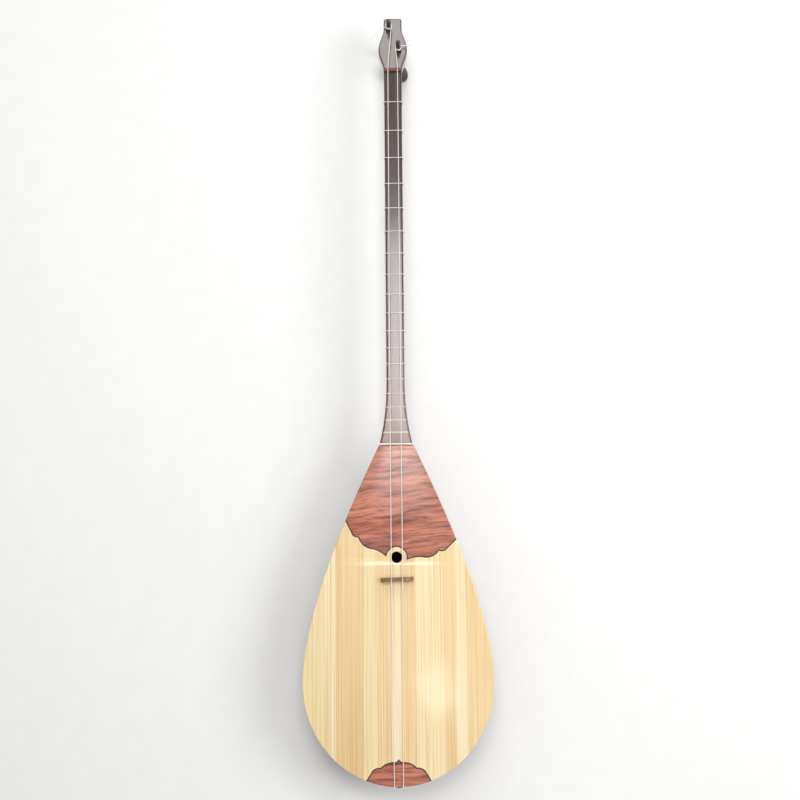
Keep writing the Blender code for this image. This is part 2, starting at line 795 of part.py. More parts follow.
def make_peg(side, frame):
    """A tapered peg from the back: post, shaft, collar and wing. Its origin is on its axis."""
    reach = frame.translation.z / math.cos(HEAD_TILT) - WING_LIFT
    collar_radius, collar_height = COLLAR
    half, tall, thick = WING
    wing_middle = tall - reach
    collar_top = -HEAD_THICK - GAP
    collar_foot = collar_top - collar_height
    neck_radius, waist_radius, swell_radius = STEM_RADII
    end_radius, end_depth = STEM_END
    tip = POST_RADII[0]
    profile = [(0, POST_HEIGHT)]
    for angle in np.linspace(0, math.pi / 2, 5)[1:]:
        profile.append((tip * math.sin(angle), POST_HEIGHT - tip * (1 - math.cos(angle))))
    profile += [
        (POST_RADII[1], 0),
        (POST_RADII[2], -HEAD_THICK),
        (POST_RADII[2], collar_top),
        (collar_radius * 0.88, collar_top - 0.0001),
        (collar_radius, collar_top - collar_height * 0.4),
        (collar_radius * 0.77, collar_foot),
        (neck_radius, collar_foot - collar_height * 0.4),
        (waist_radius, (collar_foot + wing_middle + tall) / 2),
        (swell_radius, wing_middle + tall * 0.55),
        (end_radius, wing_middle),
        (0, wing_middle - end_depth),
    ]
    peg = turned(f"peg_{side}", profile, "peg_wood", steps=24)
    peg.matrix_world = frame
    outline = [
        (half * math.cos(angle) * (1 - WING_TAPER * math.sin(angle)), tall * math.sin(angle))
        for angle in np.linspace(0, 2 * math.pi, 28, endpoint=False)
    ]
    wing = flat_piece(f"wing_{side}", outline, -thick / 2, thick / 2, "peg_wood", CUTTERS)
    as_cutter(wing)
    round_edges(wing, thick * 0.3)
    turn = Matrix.Rotation(math.pi / 2, 4, "X")
    wing.matrix_world = frame @ Matrix.Translation((0, 0, wing_middle)) @ turn
    cut(peg, wing, "UNION")


def winding_radius():
    return post_radius(WINDING_TOP) + GAP + STRING_RADIUS


def take_off(across, along, turn):
    """Angle of the point where a string leaves its post for the nut, in the head's frame."""
    nut = HEAD_FRAME.inverted() @ string_at_nut(-turn)
    line = Vector((nut.x - across, nut.y - along))
    bearing = math.atan2(line.y, line.x)
    swing = math.acos(winding_radius() / line.length)
    return bearing + turn * swing


def on_post(frame, angle, height):
    radius = winding_radius()
    return frame @ Vector((radius * math.cos(angle), radius * math.sin(angle), height))


def winding_height(run):
    return WINDING_TOP - WINDING_PITCH * run / (2 * math.pi)


def lead_points(frame, start, turn):
    """The string against the post, from the take-off round to where the winding begins."""
    runs = np.linspace(0, LEAD_ANGLE, 12)
    return [on_post(frame, start + turn * run, winding_height(run)) for run in runs]


def make_winding(side, frame, start, turn, end):
    """The turns on the peg and the loose end, as one tube. Prints its least gap to itself."""
    gap_angle = (2 * GAP) / winding_radius()
    mirrored_start = start if turn > 0 else math.pi - start
    finish = end - math.remainder(mirrored_start, 2 * math.pi)
    first = LEAD_ANGLE + gap_angle
    steps = round((finish - first) / (2 * math.pi) * LOOP_POINTS)
    runs = np.linspace(first, finish, steps + 1)
    points = [on_post(Matrix(), start + turn * run, winding_height(run)) for run in runs]
    coil = len(points)
    parts, rise = LOOSE_ENDS[side]
    for length, angle in parts:
        step = Vector((math.cos(angle), math.sin(angle), rise)) * length / LOOSE_END_STEPS
        for _ in range(LOOSE_END_STEPS):
            points.append(points[-1] + step)
    winding = tube(f"winding_{side}", points, STRING_RADIUS, "nylon", resolution=1)
    winding.matrix_world = frame
    least = min(
        (points[i] - points[j]).length
        for i in range(coil)
        for j in range(i + LOOP_POINTS // 2, len(points))
    )
    print(f"winding_{side}: least gap to itself {1000 * (least - 2 * STRING_RADIUS):.2f} mm")


def make_pegs():
    for side, across, along, turn, end in PEGS:
        frame = HEAD_FRAME @ Matrix.Translation((across, along, 0))
        make_peg(side, frame)
        make_winding(side, frame, take_off(across, along, turn), turn, end)


# Strings, tail pin and bridge

def string_run(side, turn, across, along):
    """One string from its post over the nut and the bridge to the edge of the tail."""
    frame = HEAD_FRAME @ Matrix.Translation((across, along, 0))
    points = lead_points(frame, take_off(across, along, turn), turn)[::-1]
    points.append(string_at_nut(side))
    bridge_x = side * STRING_BRIDGE
    lean = math.tan(BRIDGE_TURN) * bridge_x
    bridge = Vector((bridge_x, y_at(BRIDGE_PARKED) + lean, z_at(STRING_BRIDGE_HEIGHT)))
    ahead, height = TAIL_BEND_PLACE
    centre = Vector((side * STRING_TAIL, y_at(WIDEST + TAIL_RUN - ahead), z_at(height)))
    bend = []
    for angle in np.linspace(math.pi / 2, math.pi, 5):
        bend.append(centre + TAIL_BEND * Vector((0, math.cos(angle), math.sin(angle))))
    points += [points[-1].lerp(bridge, 0.5), bridge, bridge.lerp(bend[0], 0.5)]
    return points + bend


def make_strings():
    """One line from the left peg round the tail pin to the right peg."""
    runs = [
        string_run(-turn, turn, across, along)
        for _, across, along, turn, _ in PEGS
    ]
    radius = PIN_RADIUS + GAP + STRING_RADIUS
    loop = []
    for angle in np.linspace(math.pi, 2 * math.pi, 9):
        across = radius * math.cos(angle)
        loop.append(Vector((across, y_at(PIN_GROOVE), z_at(PIN_DEPTH) + radius * math.sin(angle))))
    tube("strings", runs[0] + loop + runs[1][::-1], STRING_RADIUS, "nylon", resolution=1)


def make_tail_pin():
    """A turned pin in the tail, with its neck below the edge."""
    reach = PIN_END - PIN_GROOVE
    head = PIN_HEAD_RADIUS
    profile = [
        (0, reach),
        (head * 0.55, reach - 0.0001),
        (head * 0.9, reach - 0.0007),
        (head, reach - 0.0017),
        (head * 0.92, reach - 0.0026),
        (PIN_RADIUS, reach - 0.0031),
        (PIN_RADIUS, -PIN_SHANK + 0.001),
        (PIN_RADIUS * 0.7, -PIN_SHANK),
        (0, -PIN_SHANK),
    ]
    pin = turned("tail_pin", profile, "peg_wood")
    pin.location = (0, y_at(PIN_GROOVE), z_at(PIN_DEPTH))
    pin.rotation_euler.x = math.pi / 2


def make_bridge():
    """The loose bridge: two feet with an arch between them, thin in the middle."""
    back = [(BRIDGE_HALF_WIDTH - inward, height) for inward, height in BRIDGE_BACK]
    right = list(BRIDGE_ARCH) + back + [(0.0, BRIDGE_HEIGHT)]
    outline = right + [(-x, z) for x, z in reversed(right[1:-1])]
    bridge = flat_piece("bridge", outline, -BRIDGE_THICK / 2, BRIDGE_THICK / 2, "bridge_wood")
    upright = Matrix.Rotation(math.pi / 2, 4, "X")
    place = Matrix.Translation((0, y_at(BRIDGE_PARKED), z_at(GAP))) @ Matrix.Rotation(BRIDGE_TURN, 4, "Z")
    bridge.matrix_world = place @ upright
    round_edges(bridge, 0.0003, segments=1)
    waist, thin = BRIDGE_WAIST
    for side in (-1, 1):
        near, far = sorted((side * thin / 2, side * BRIDGE_THICK))
        above = 2 * BRIDGE_HEIGHT
        foot = BRIDGE_WAIST_FOOT
        hollow = box_cutter(f"bridge_hollow_{side}", (-waist, near, foot), (waist, far, above))
        hollow.matrix_world = place
        cut(bridge, hollow)
        reach = STRING_RADIUS + GAP
        low = (side * STRING_BRIDGE - reach, -BRIDGE_THICK, STRING_BRIDGE_HEIGHT - GAP - reach)
        high = (side * STRING_BRIDGE + reach, BRIDGE_THICK, above)
        notch = box_cutter(f"bridge_notch_{side}", low, high)
        notch.matrix_world = place
        cut(bridge, notch)


make_head()
make_neck()
make_nut()
make_frets()
make_soundboard()
make_ribs()
make_tail_cap()
make_blocks()
make_linings()
make_braces()
make_pegs()
make_strings()
make_tail_pin()
make_bridge()
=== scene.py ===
import json
import math

import bmesh
import bpy
import numpy as np
from mathutils import Matrix, Vector
from mathutils.geometry import interpolate_bezier, intersect_line_line_2d, tessellate_polygon

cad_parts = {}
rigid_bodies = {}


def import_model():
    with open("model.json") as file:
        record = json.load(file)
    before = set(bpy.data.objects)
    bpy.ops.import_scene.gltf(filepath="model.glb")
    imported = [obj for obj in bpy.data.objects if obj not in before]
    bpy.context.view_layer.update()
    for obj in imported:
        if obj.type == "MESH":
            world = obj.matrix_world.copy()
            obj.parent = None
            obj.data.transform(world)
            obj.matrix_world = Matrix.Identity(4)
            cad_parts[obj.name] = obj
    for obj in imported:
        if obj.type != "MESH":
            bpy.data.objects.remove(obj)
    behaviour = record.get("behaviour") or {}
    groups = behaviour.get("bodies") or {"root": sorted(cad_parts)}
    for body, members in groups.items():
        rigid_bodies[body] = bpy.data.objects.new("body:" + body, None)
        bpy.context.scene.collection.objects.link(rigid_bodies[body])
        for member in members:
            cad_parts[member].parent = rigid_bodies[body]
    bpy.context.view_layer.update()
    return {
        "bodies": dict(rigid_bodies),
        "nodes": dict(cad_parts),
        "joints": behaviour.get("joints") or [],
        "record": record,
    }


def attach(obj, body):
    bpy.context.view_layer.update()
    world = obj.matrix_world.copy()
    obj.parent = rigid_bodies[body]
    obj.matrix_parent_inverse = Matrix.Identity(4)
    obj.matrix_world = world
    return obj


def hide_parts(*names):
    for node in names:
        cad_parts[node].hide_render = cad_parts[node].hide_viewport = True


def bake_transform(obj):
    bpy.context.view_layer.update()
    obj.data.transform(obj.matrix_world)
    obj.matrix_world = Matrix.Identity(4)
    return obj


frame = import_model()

# Sizes in metres. Places along the instrument are distances from the nut,
# and heights are counted from the face of the soundboard.
SCALE_LENGTH = 0.640
GAP = 0.0003
JOINT = SCALE_LENGTH * (1 - 2 ** (-19 / 12))
JOINT_HALF_WIDTH = 0.0182
FLANK_SLOPE = 0.485
FLANK_HANDLES = (0.060, 0.075)
WIDEST = 0.680
HALF_WIDTH = 0.1018
TAIL_RUN = 0.1069
BOWL_DEPTH = 0.064
HEEL_DEPTH = 0.0235
FLAT_START = 0.620
HEEL_HANDLES = ((0.045, 0.016), (0.075, 0.0))
WALL = 0.003
BOARD_THICK = 0.003
CAP_ANGLE = math.radians(75)
RIB_COUNT = 9

NUT_HALF_WIDTH = 0.01025
NECK_HALF_WIDTH = 0.0100
NECK_TAPER_END = 0.060
NECK_FLARE_START = 0.352
NECK_FLARE_POWER = 2.4
NECK_BACK = ((-0.004, -0.0165), (0.060, -0.0172), (0.340, -0.0190), (0.385, -0.0209), (JOINT, -0.0268))
BOARD_TOP = 0.0008
FINGERBOARD_THICK = 0.005
SHOULDER = 0.0022
NECK_ROUNDNESS = (0.8, 0.9)
NECK_TOP = BOARD_TOP - FINGERBOARD_THICK - GAP
NUT_LENGTH = 0.004
TIED_FRETS = 16
TIED_FRET_RADIUS = 0.0004
BAR_FRET = (0.0013, 0.0009)
END_FRET = (0.0020, 0.0009)

HEAD_TILT = math.radians(10)
HEAD_DROP = -0.0015
HEAD_LENGTH = 0.0694
HEAD_SWELL_LENGTH = 0.0550
HEAD_END_HALF_WIDTH = 0.0105
HEAD_SWELL = 0.0060
HEAD_SWELL_POWER = 1.7
HEAD_CORNER = 0.003
HEAD_THICK = 0.013
HEAD_EDGE = 0.0016
PEGS = (
    ("left", -0.0046, 0.0550, 1, math.radians(846)),
    ("right", 0.0066, 0.0261, -1, math.radians(810)),
)
LOOSE_ENDS = {
    "left": (((0.0135, math.radians(216)), (0.0115, math.radians(234))), -0.065),
    "right": (((0.0140, 0.0),), 0.03),
}
POST_HEIGHT = 0.0162
POST_RADII = (0.0026, 0.0030, 0.0035)
COLLAR = (0.0052, 0.0030)
STEM_RADII = (0.0029, 0.0027, 0.0036)
STEM_END = (0.0024, 0.002)
WING = (0.0105, 0.0150, 0.0060)
WING_TAPER = 0.14
WING_LIFT = 0.0006
PEG_CLEARANCE = 0.00025

STRING_RADIUS = 0.00045
STRING_NUT = 0.0055
STRING_BRIDGE = 0.0060
STRING_TAIL = 0.0047
STRING_NUT_HEIGHT = 0.0028
STRING_BRIDGE_HEIGHT = 0.0098
LEAD_ANGLE = math.radians(200)
WINDING_TOP = 0.0062
WINDING_PITCH = 0.00145
TAIL_BEND = 0.0022
TAIL_BEND_PLACE = (0.0010, -0.0010)
BRIDGE_PARKED = 0.5719
BRIDGE_TURN = math.radians(1.9)
PIN_DEPTH = -0.0153
PIN_RADIUS = 0.0030
PIN_HEAD_RADIUS = 0.0046
PIN_SHANK = 0.018
PIN_GROOVE = 0.7868
PIN_END = 0.7912

HOLE_PLACE = 0.5487
HOLE_SIDE = -0.0005
HOLE_RADIUS = 0.00605
RING_RADIUS = 0.0116
INLAY_THICK = 0.0012
PURFLING_WIDTH = 0.0013
INLAY_GAP = 0.00003
UPPER_TURN = math.radians(-9.6)
UPPER_SCALLOPS = (
    (0.0116, -0.0002, 0.0010),
    (0.0270, 0.0052, -0.0034),
    (0.0436, 0.0150, -0.0009),
    (0.0505, 0.0162, 0.0),
    (0.0820, 0.0580, 0.0),
)
LOWER_SCALLOPS = (
    (0.0, 0.0275, -0.0004),
    (0.0034, 0.0248, 0.0019),
    (0.0189, 0.0190, 0.0014),
    (0.0280, 0.0155, 0.0002),
    (0.0390, -0.0030, 0.0),
)
BOARD_EDGE = 0.0007

REST_FROM_NUT = (FLAT_START + WIDEST) / 2


def seam_angles():
    fine = np.linspace(0, math.pi, 361)
    across = HALF_WIDTH * np.cos(fine)
    down = BOWL_DEPTH * np.sin(fine)
    run = np.concatenate(([0], np.cumsum(np.hypot(np.diff(across), np.diff(down)))))
    return np.interp(np.linspace(0, run[-1], RIB_COUNT + 1), run, fine)


SEAMS = seam_angles()
RIM_Z = BOWL_DEPTH * math.sin(SEAMS[RIB_COUNT // 2])
TOP_Z = RIM_Z + GAP + BOARD_THICK


def y_at(distance):
    return REST_FROM_NUT - distance


def z_at(height):
    return TOP_Z + height


HEAD_FRAME = (
    Matrix.Translation((0, y_at(-NUT_LENGTH), z_at(HEAD_DROP))) @ Matrix.Rotation(-HEAD_TILT, 4, "X")
)


# Camera, at the photograph's place over the instrument
def make_camera():
    camera = bpy.data.cameras.new("camera")
    camera.sensor_width = 36
    camera.lens = 44.71
    camera.clip_start = 0.01
    camera.clip_end = 50
    obj = bpy.data.objects.new("camera", camera)
    obj.location = (0.02714, 0.13887, 1.14903)
    obj.rotation_euler = (0.122087, 0.021781, -0.009361)
    bpy.context.scene.collection.objects.link(obj)
    bpy.context.scene.camera = obj


make_camera()


# Materials
class Finish:
    """A procedural material round one Principled shader, coloured in the part's own coordinates."""

    def __init__(self, name, roughness=0.4, coat=0.0, coat_roughness=0.08, specular=0.5):
        self.data = bpy.data.materials.new(name)
        self.data.use_nodes = True
        self.tree = self.data.node_tree
        self.shader = self.tree.nodes["Principled BSDF"]
        self.set("Roughness", roughness)
        self.set("Coat Weight", coat)
        self.set("Coat Roughness", coat_roughness)
        self.set("Specular IOR Level", specular)

    def set(self, socket, value):
        if isinstance(value, bpy.types.NodeSocket):
            self.tree.links.new(value, self.shader.inputs[socket])
        else:
            self.shader.inputs[socket].default_value = value

    def node(self, kind, inputs=None, **settings):
        made = self.tree.nodes.new(kind)
        for key, value in settings.items():
            setattr(made, key, value)
        for key, value in (inputs or {}).items():
            if isinstance(value, bpy.types.NodeSocket):
                self.tree.links.new(value, made.inputs[key])
            else:
                made.inputs[key].default_value = value
        return made

    def place(self, scale=(1, 1, 1), turn=0.0, shift=(0, 0, 0)):
        """The part's coordinates, turned about Z and then scaled."""
        coordinates = self.node("ShaderNodeTexCoord").outputs["Object"]
        turned = self.node("ShaderNodeMapping", {"Vector": coordinates, "Rotation": (0, 0, turn)})
        inputs = {"Vector": turned.outputs[0], "Scale": scale, "Location": shift}
        return self.node("ShaderNodeMapping", inputs).outputs[0]

    def noise(self, vector, detail=3.0, roughness=0.5, distortion=0.0, scale=1.0):
        inputs = {"Vector": vector, "Scale": scale, "Detail": detail, "Roughness": roughness}
        inputs["Distortion"] = distortion
        return self.node("ShaderNodeTexNoise", inputs).outputs["Fac"]

    def math(self, operation, first, second=0.0, third=0.0):
        made = self.node("ShaderNodeMath", operation=operation)
        for socket, value in zip(made.inputs, (first, second, third)):
            if isinstance(value, bpy.types.NodeSocket):
                self.tree.links.new(value, socket)
            else:
                socket.default_value = value
        return made.outputs[0]

    def axis(self, vector, name):
        return self.node("ShaderNodeSeparateXYZ", {"Vector": vector}).outputs[name]

    def span(self, value, low, high, to_low=0.0, to_high=1.0):
        inputs = {"Value": value, "From Min": low, "From Max": high, "To Min": to_low, "To Max": to_high}
        return self.node("ShaderNodeMapRange", inputs).outputs[0]

    def ramp(self, value, stops, interpolation="LINEAR"):
        made = self.node("ShaderNodeValToRGB", {"Fac": value})
        ramp = made.color_ramp
        ramp.interpolation = interpolation
        while len(ramp.elements) < len(stops):
            ramp.elements.new(0.5)
        for element, (place, color) in zip(ramp.elements, stops):
            element.position = place
            element.color = (*color, 1)
        return made.outputs[0]

    def mix(self, share, first, second, blend="MIX"):
        made = self.node("ShaderNodeMix", data_type="RGBA", blend_type=blend)
        for socket, value in ((made.inputs[0], share), (made.inputs[6], first), (made.inputs[7], second)):
            if isinstance(value, bpy.types.NodeSocket):
                self.tree.links.new(value, socket)
            elif isinstance(value, tuple):
                socket.default_value = (*value, 1)
            else:
                socket.default_value = value
        return made.outputs[2]

    def bump(self, height, strength, distance=0.0002):
        inputs = {"Height": height, "Strength": strength, "Distance": distance}
        self.set("Normal", self.node("ShaderNodeBump", inputs).outputs[0])

    def done(self):
        return self.data


# Strips of the soundboard from left to right: where each starts, and its colour
CREAM = (0.86, 0.73, 0.45)
PALE = (0.90, 0.79, 0.54)
TAN = (0.80, 0.60, 0.33)
HONEY = (0.83, 0.66, 0.38)
STRIPS = (
    (-0.1050, CREAM),
    (-0.0712, PALE),
    (-0.0672, TAN),
    (-0.0371, CREAM),
    (-0.0215, HONEY),
    (-0.0072, PALE),
    (0.0030, TAN),
    (0.0195, CREAM),
    (0.0488, HONEY),
    (0.0610, PALE),
    (0.0724, HONEY),
)


def spruce():
    finish = Finish("spruce", coat=0.55, coat_roughness=0.12)
    across = finish.axis(finish.place(), "X")
    wander = finish.noise(finish.place((3, 9, 3)), detail=1)
    across = finish.math("MULTIPLY_ADD", finish.math("SUBTRACT", wander, 0.5), 0.0012, across)
    share = finish.span(across, -0.105, 0.105)
    stops = [((start + 0.105) / 0.21, color) for start, color in STRIPS]
    color = finish.ramp(share, stops, "CONSTANT")
    lines = finish.noise(finish.place((620, 3.5, 30)), detail=4, roughness=0.65)
    color = finish.mix(0.75, color, finish.ramp(lines, [(0.36, (0.80, 0.68, 0.52)), (0.56, (1, 1, 1))]), "MULTIPLY")
    fine = finish.noise(finish.place((2400, 9, 60)), detail=2)
    color = finish.mix(0.45, color, finish.ramp(fine, [(0.3, (0.88, 0.82, 0.74)), (0.6, (1, 1, 1))]), "MULTIPLY")
    broad = finish.noise(finish.place((16, 3, 5), shift=(3, 1, 0)), detail=2)
    color = finish.mix(0.8, color, finish.ramp(broad, [(0.35, (0.94, 0.88, 0.80)), (0.65, (1, 1, 1))]), "MULTIPLY")
    joints = [(0.0, (1, 1, 1))]
    for start, _ in STRIPS[1:]:
        middle = (start + 0.105) / 0.21
        joints += [(middle - 0.0016, (1, 1, 1)), (middle, (0.80, 0.70, 0.56)), (middle + 0.0016, (1, 1, 1))]
    color = finish.mix(0.6, color, finish.ramp(share, joints), "MULTIPLY")
    finish.set("Base Color", color)
    finish.set("Roughness", finish.span(lines, 0.3, 0.7, 0.34, 0.46))
    finish.bump(lines, 0.08)
    return finish.done()


def figured(name, turn, wave, seed):
    """Red wood with dark wavy streaks across the instrument."""
    finish = Finish(name, coat=0.5, coat_roughness=0.14)
    plain = finish.place(turn=turn, shift=(seed, seed * 0.7, 0))
    swing = finish.noise(finish.place((26, 9, 5), turn=turn, shift=(seed, 0, 0)), detail=2)
    along = finish.axis(plain, "Y")
    along = finish.math("MULTIPLY_ADD", finish.math("SUBTRACT", swing, 0.5), wave, along)
    across = finish.axis(plain, "X")

    def streaks(length, thickness, detail, roughness):
        inputs = {"X": finish.math("MULTIPLY", across, 1 / length), "Y": finish.math("MULTIPLY", along, 1 / thickness)}
        vector = finish.node("ShaderNodeCombineXYZ", inputs).outputs[0]
        return finish.noise(vector, detail=detail, roughness=roughness, distortion=0.4)

    broad = streaks(0.060, 0.0085, 3, 0.55)
    color = finish.ramp(broad, [
        (0.30, (0.20, 0.055, 0.036)),
        (0.42, (0.36, 0.105, 0.062)),
        (0.52, (0.47, 0.150, 0.086)),
        (0.68, (0.58, 0.205, 0.115)),
    ])
    fine = streaks(0.034, 0.0030, 5, 0.68)
    color = finish.mix(0.95, color, finish.ramp(fine, [
        (0.34, (0.20, 0.17, 0.18)),
        (0.43, (0.62, 0.55, 0.53)),
        (0.50, (1, 1, 1)),
        (0.72, (1.0, 1.0, 1.0)),
    ]), "MULTIPLY")
    hair = streaks(0.012, 0.0007, 2, 0.5)
    color = finish.mix(0.5, color, finish.ramp(hair, [(0.3, (0.62, 0.52, 0.50)), (0.55, (1, 1, 1))]), "MULTIPLY")
    finish.set("Base Color", color)
    finish.set("Roughness", finish.span(fine, 0.3, 0.7, 0.42, 0.30))
    finish.bump(fine, 0.06)
    return finish.done()


def long_grain(name, dark, light, spread=(0.35, 0.65), coat=0.5, coat_roughness=0.10, rough=(0.30, 0.42),
               across=420, along=7, seed=0.0, painted_light_fade=None, depth=0.10):
    """Wood with its grain along the instrument; the optional second pair of colours is painted light, making the same
    wood lighter towards the body as if lit more there.
    """
    finish = Finish(name, coat=coat, coat_roughness=coat_roughness)
    grain = finish.noise(finish.place((across, along, across), shift=(seed, seed, 0)), detail=5, roughness=0.62)
    color = finish.ramp(grain, [(spread[0], dark), (spread[1], light)])
    # Painted light: the wood is the same all along; the lighter colours towards the body stand in for light falling
    # there.
    if painted_light_fade:
        start, end, lit_dark, lit_light = painted_light_fade
        lit_color = finish.ramp(grain, [(spread[0], lit_dark), (spread[1], lit_light)])
        share = finish.span(finish.axis(finish.place(), "Y"), y_at(start), y_at(end))
        color = finish.mix(share, color, lit_color)
    pores = finish.noise(finish.place((across * 4, along * 9, across * 4)), detail=2)
    color = finish.mix(0.6, color, finish.ramp(pores, [(0.33, (0.45, 0.38, 0.36)), (0.46, (1, 1, 1))]), "MULTIPLY")
    broad = finish.noise(finish.place((30, 4, 30), shift=(0, seed, 0)), detail=2)
    color = finish.mix(0.7, color, finish.ramp(broad, [(0.3, (0.78, 0.72, 0.70)), (0.7, (1, 1, 1))]), "MULTIPLY")
    finish.set("Base Color", color)
    finish.set("Roughness", finish.span(grain, 0.3, 0.7, *rough))
    finish.bump(pores, depth)
    return finish.done()


def stained(name, base, speck, roughness=(0.2, 0.35), coat=0.3, scale=900, depth=0.05):
    """A nearly plain surface with fine mottling, such as blackened wood, bone or nylon."""
    finish = Finish(name, coat=coat, coat_roughness=0.12)
    mottle = finish.noise(finish.place((scale, scale, scale)), detail=4, roughness=0.6)
    finish.set("Base Color", finish.ramp(mottle, [(0.32, speck), (0.62, base)]))
    finish.set("Roughness", finish.span(mottle, 0.3, 0.7, *roughness))
    finish.bump(mottle, depth, 0.0001)
    return finish.done()


def cross_grain(name, dark, light, seed=0.0):
    """Wood with its grain across the instrument, for the bridge and the nut."""
    finish = Finish(name, coat=0.1, coat_roughness=0.3)
    grain = finish.noise(finish.place((60, 900, 700), shift=(seed, 0, 0)), detail=5, roughness=0.65)
    color = finish.ramp(grain, [(0.36, dark), (0.62, light)])
    pores = finish.noise(finish.place((300, 3000, 3000)), detail=2)
    color = finish.mix(0.5, color, finish.ramp(pores, [(0.36, (0.4, 0.35, 0.3)), (0.5, (1, 1, 1))]), "MULTIPLY")
    finish.set("Base Color", color)
    finish.set("Roughness", finish.span(grain, 0.3, 0.7, 0.42, 0.6))
    finish.bump(pores, 0.15, 0.0001)
    return finish.done()


LOOKS = {
    "spruce": spruce(),
    "upper": figured("red_wood_upper", math.radians(-5), 0.0075, 3.1),
    "lower": figured("red_wood_lower", 0.0, 0.0020, 7.7),
    "black_line": stained("black_line", (0.020, 0.014, 0.012), (0.045, 0.03, 0.025), (0.25, 0.4)),
    "fingerboard": long_grain(
        "fingerboard_wood", (0.030, 0.012, 0.011), (0.070, 0.027, 0.023),
        coat=0.8, coat_roughness=0.13, rough=(0.25, 0.4),
        # Painted light: the same wood made lighter towards the body, for how the light falls along the fingerboard.
        painted_light_fade=(0.20, 0.40, (0.085, 0.026, 0.021), (0.200, 0.062, 0.045)),
    ),
    "neck": long_grain(
        "neck_wood", (0.050, 0.012, 0.013), (0.120, 0.030, 0.028), seed=2.0,
        # Painted light: the same wood made lighter towards the body, for how the light falls along the neck.
        painted_light_fade=(0.25, 0.42, (0.090, 0.026, 0.020), (0.190, 0.058, 0.042)),
    ),
    "head": long_grain("head_wood", (0.040, 0.022, 0.017), (0.110, 0.060, 0.044), coat=0.9, coat_roughness=0.16,
                       rough=(0.24, 0.36), across=380, along=12, seed=5.0),
    "cap": long_grain("cap_wood", (0.050, 0.016, 0.013), (0.110, 0.036, 0.028), across=900, along=300),
    "inner": long_grain("inner_wood", (0.52, 0.36, 0.20), (0.72, 0.55, 0.34), coat=0.0, rough=(0.6, 0.8), seed=8.0),
    "bridge": cross_grain("bridge_wood", (0.13, 0.060, 0.028), (0.38, 0.20, 0.095)),
    "nut": cross_grain("nut_wood", (0.09, 0.020, 0.014), (0.21, 0.055, 0.036), seed=4.0),
    "peg": stained("peg_black", (0.012, 0.011, 0.012), (0.035, 0.030, 0.028), (0.12, 0.28), coat=0.6),
    "nylon": stained("nylon", (0.80, 0.78, 0.74), (0.66, 0.63, 0.60), (0.18, 0.3), coat=0.4, scale=2500),
    "bone": stained("bone", (0.84, 0.80, 0.70), (0.70, 0.64, 0.52), (0.25, 0.4), coat=0.3, scale=1500),
}
STAVES = (
    long_grain("stave_dark", (0.085, 0.028, 0.016), (0.190, 0.068, 0.036), across=260, along=5, seed=1.0),
    long_grain("stave_mid", (0.110, 0.038, 0.020), (0.240, 0.090, 0.046), across=300, along=6, seed=6.0),
)


# Helpers for meshes
def piece(name, verts, faces, look, slot, body="body", replaces=(), angle=35):
    """A mesh object that rides on a body and takes the place of CAD nodes."""
    mesh = bpy.data.meshes.new(name)
    mesh.from_pydata([tuple(v) for v in verts], [], [tuple(f) for f in faces])
    shape = bmesh.new()
    shape.from_mesh(mesh)
    bmesh.ops.recalc_face_normals(shape, faces=shape.faces)
    shape.to_mesh(mesh)
    shape.free()
    mesh.materials.append(look)
    mesh.shade_smooth()
    mesh.set_sharp_from_angle(angle=math.radians(angle))
    obj = bpy.data.objects.new(name, mesh)
    bpy.context.scene.collection.objects.link(obj)
    if body:
        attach(obj, body)
    if replaces:
        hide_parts(*replaces)
    return obj


def joined(*shapes):
    """Several (verts, faces) as one."""
    verts, faces = [], []
    for some_verts, some_faces in shapes:
        first = len(verts)
        verts += list(some_verts)
        faces += [[first + i for i in face] for face in some_faces]
    return verts, faces


def lofted(rings, caps=True):
    count = len(rings[0])
    verts = [point for ring in rings for point in ring]
    faces = []
    for row in range(len(rings) - 1):
        for i in range(count):
            j = (i + 1) % count
            a, b = row * count, (row + 1) * count
            faces.append((a + i, a + j, b + j, b + i))
    if caps:
        faces.append(tuple(range(count)))
        faces.append(tuple(range(len(verts) - count, len(verts))))
    return verts, faces


def turned(profile, matrix, steps=48):
    """A solid turned about Z from (radius, height), whose ends are on the axis."""
    rings = [
        [matrix @ Vector((r * math.cos(a), r * math.sin(a), z)) for a in np.linspace(0, 2 * math.pi, steps, False)]
        for r, z in profile[1:-1]
    ]
    verts, faces = lofted(rings, caps=False)
    for (_, height), row in ((profile[0], 0), (profile[-1], len(rings) - 1)):
        verts.append(matrix @ Vector((0, 0, height)))
        base = row * steps
        faces += [(base + i, base + (i + 1) % steps, len(verts) - 1) for i in range(steps)]
    return verts, faces


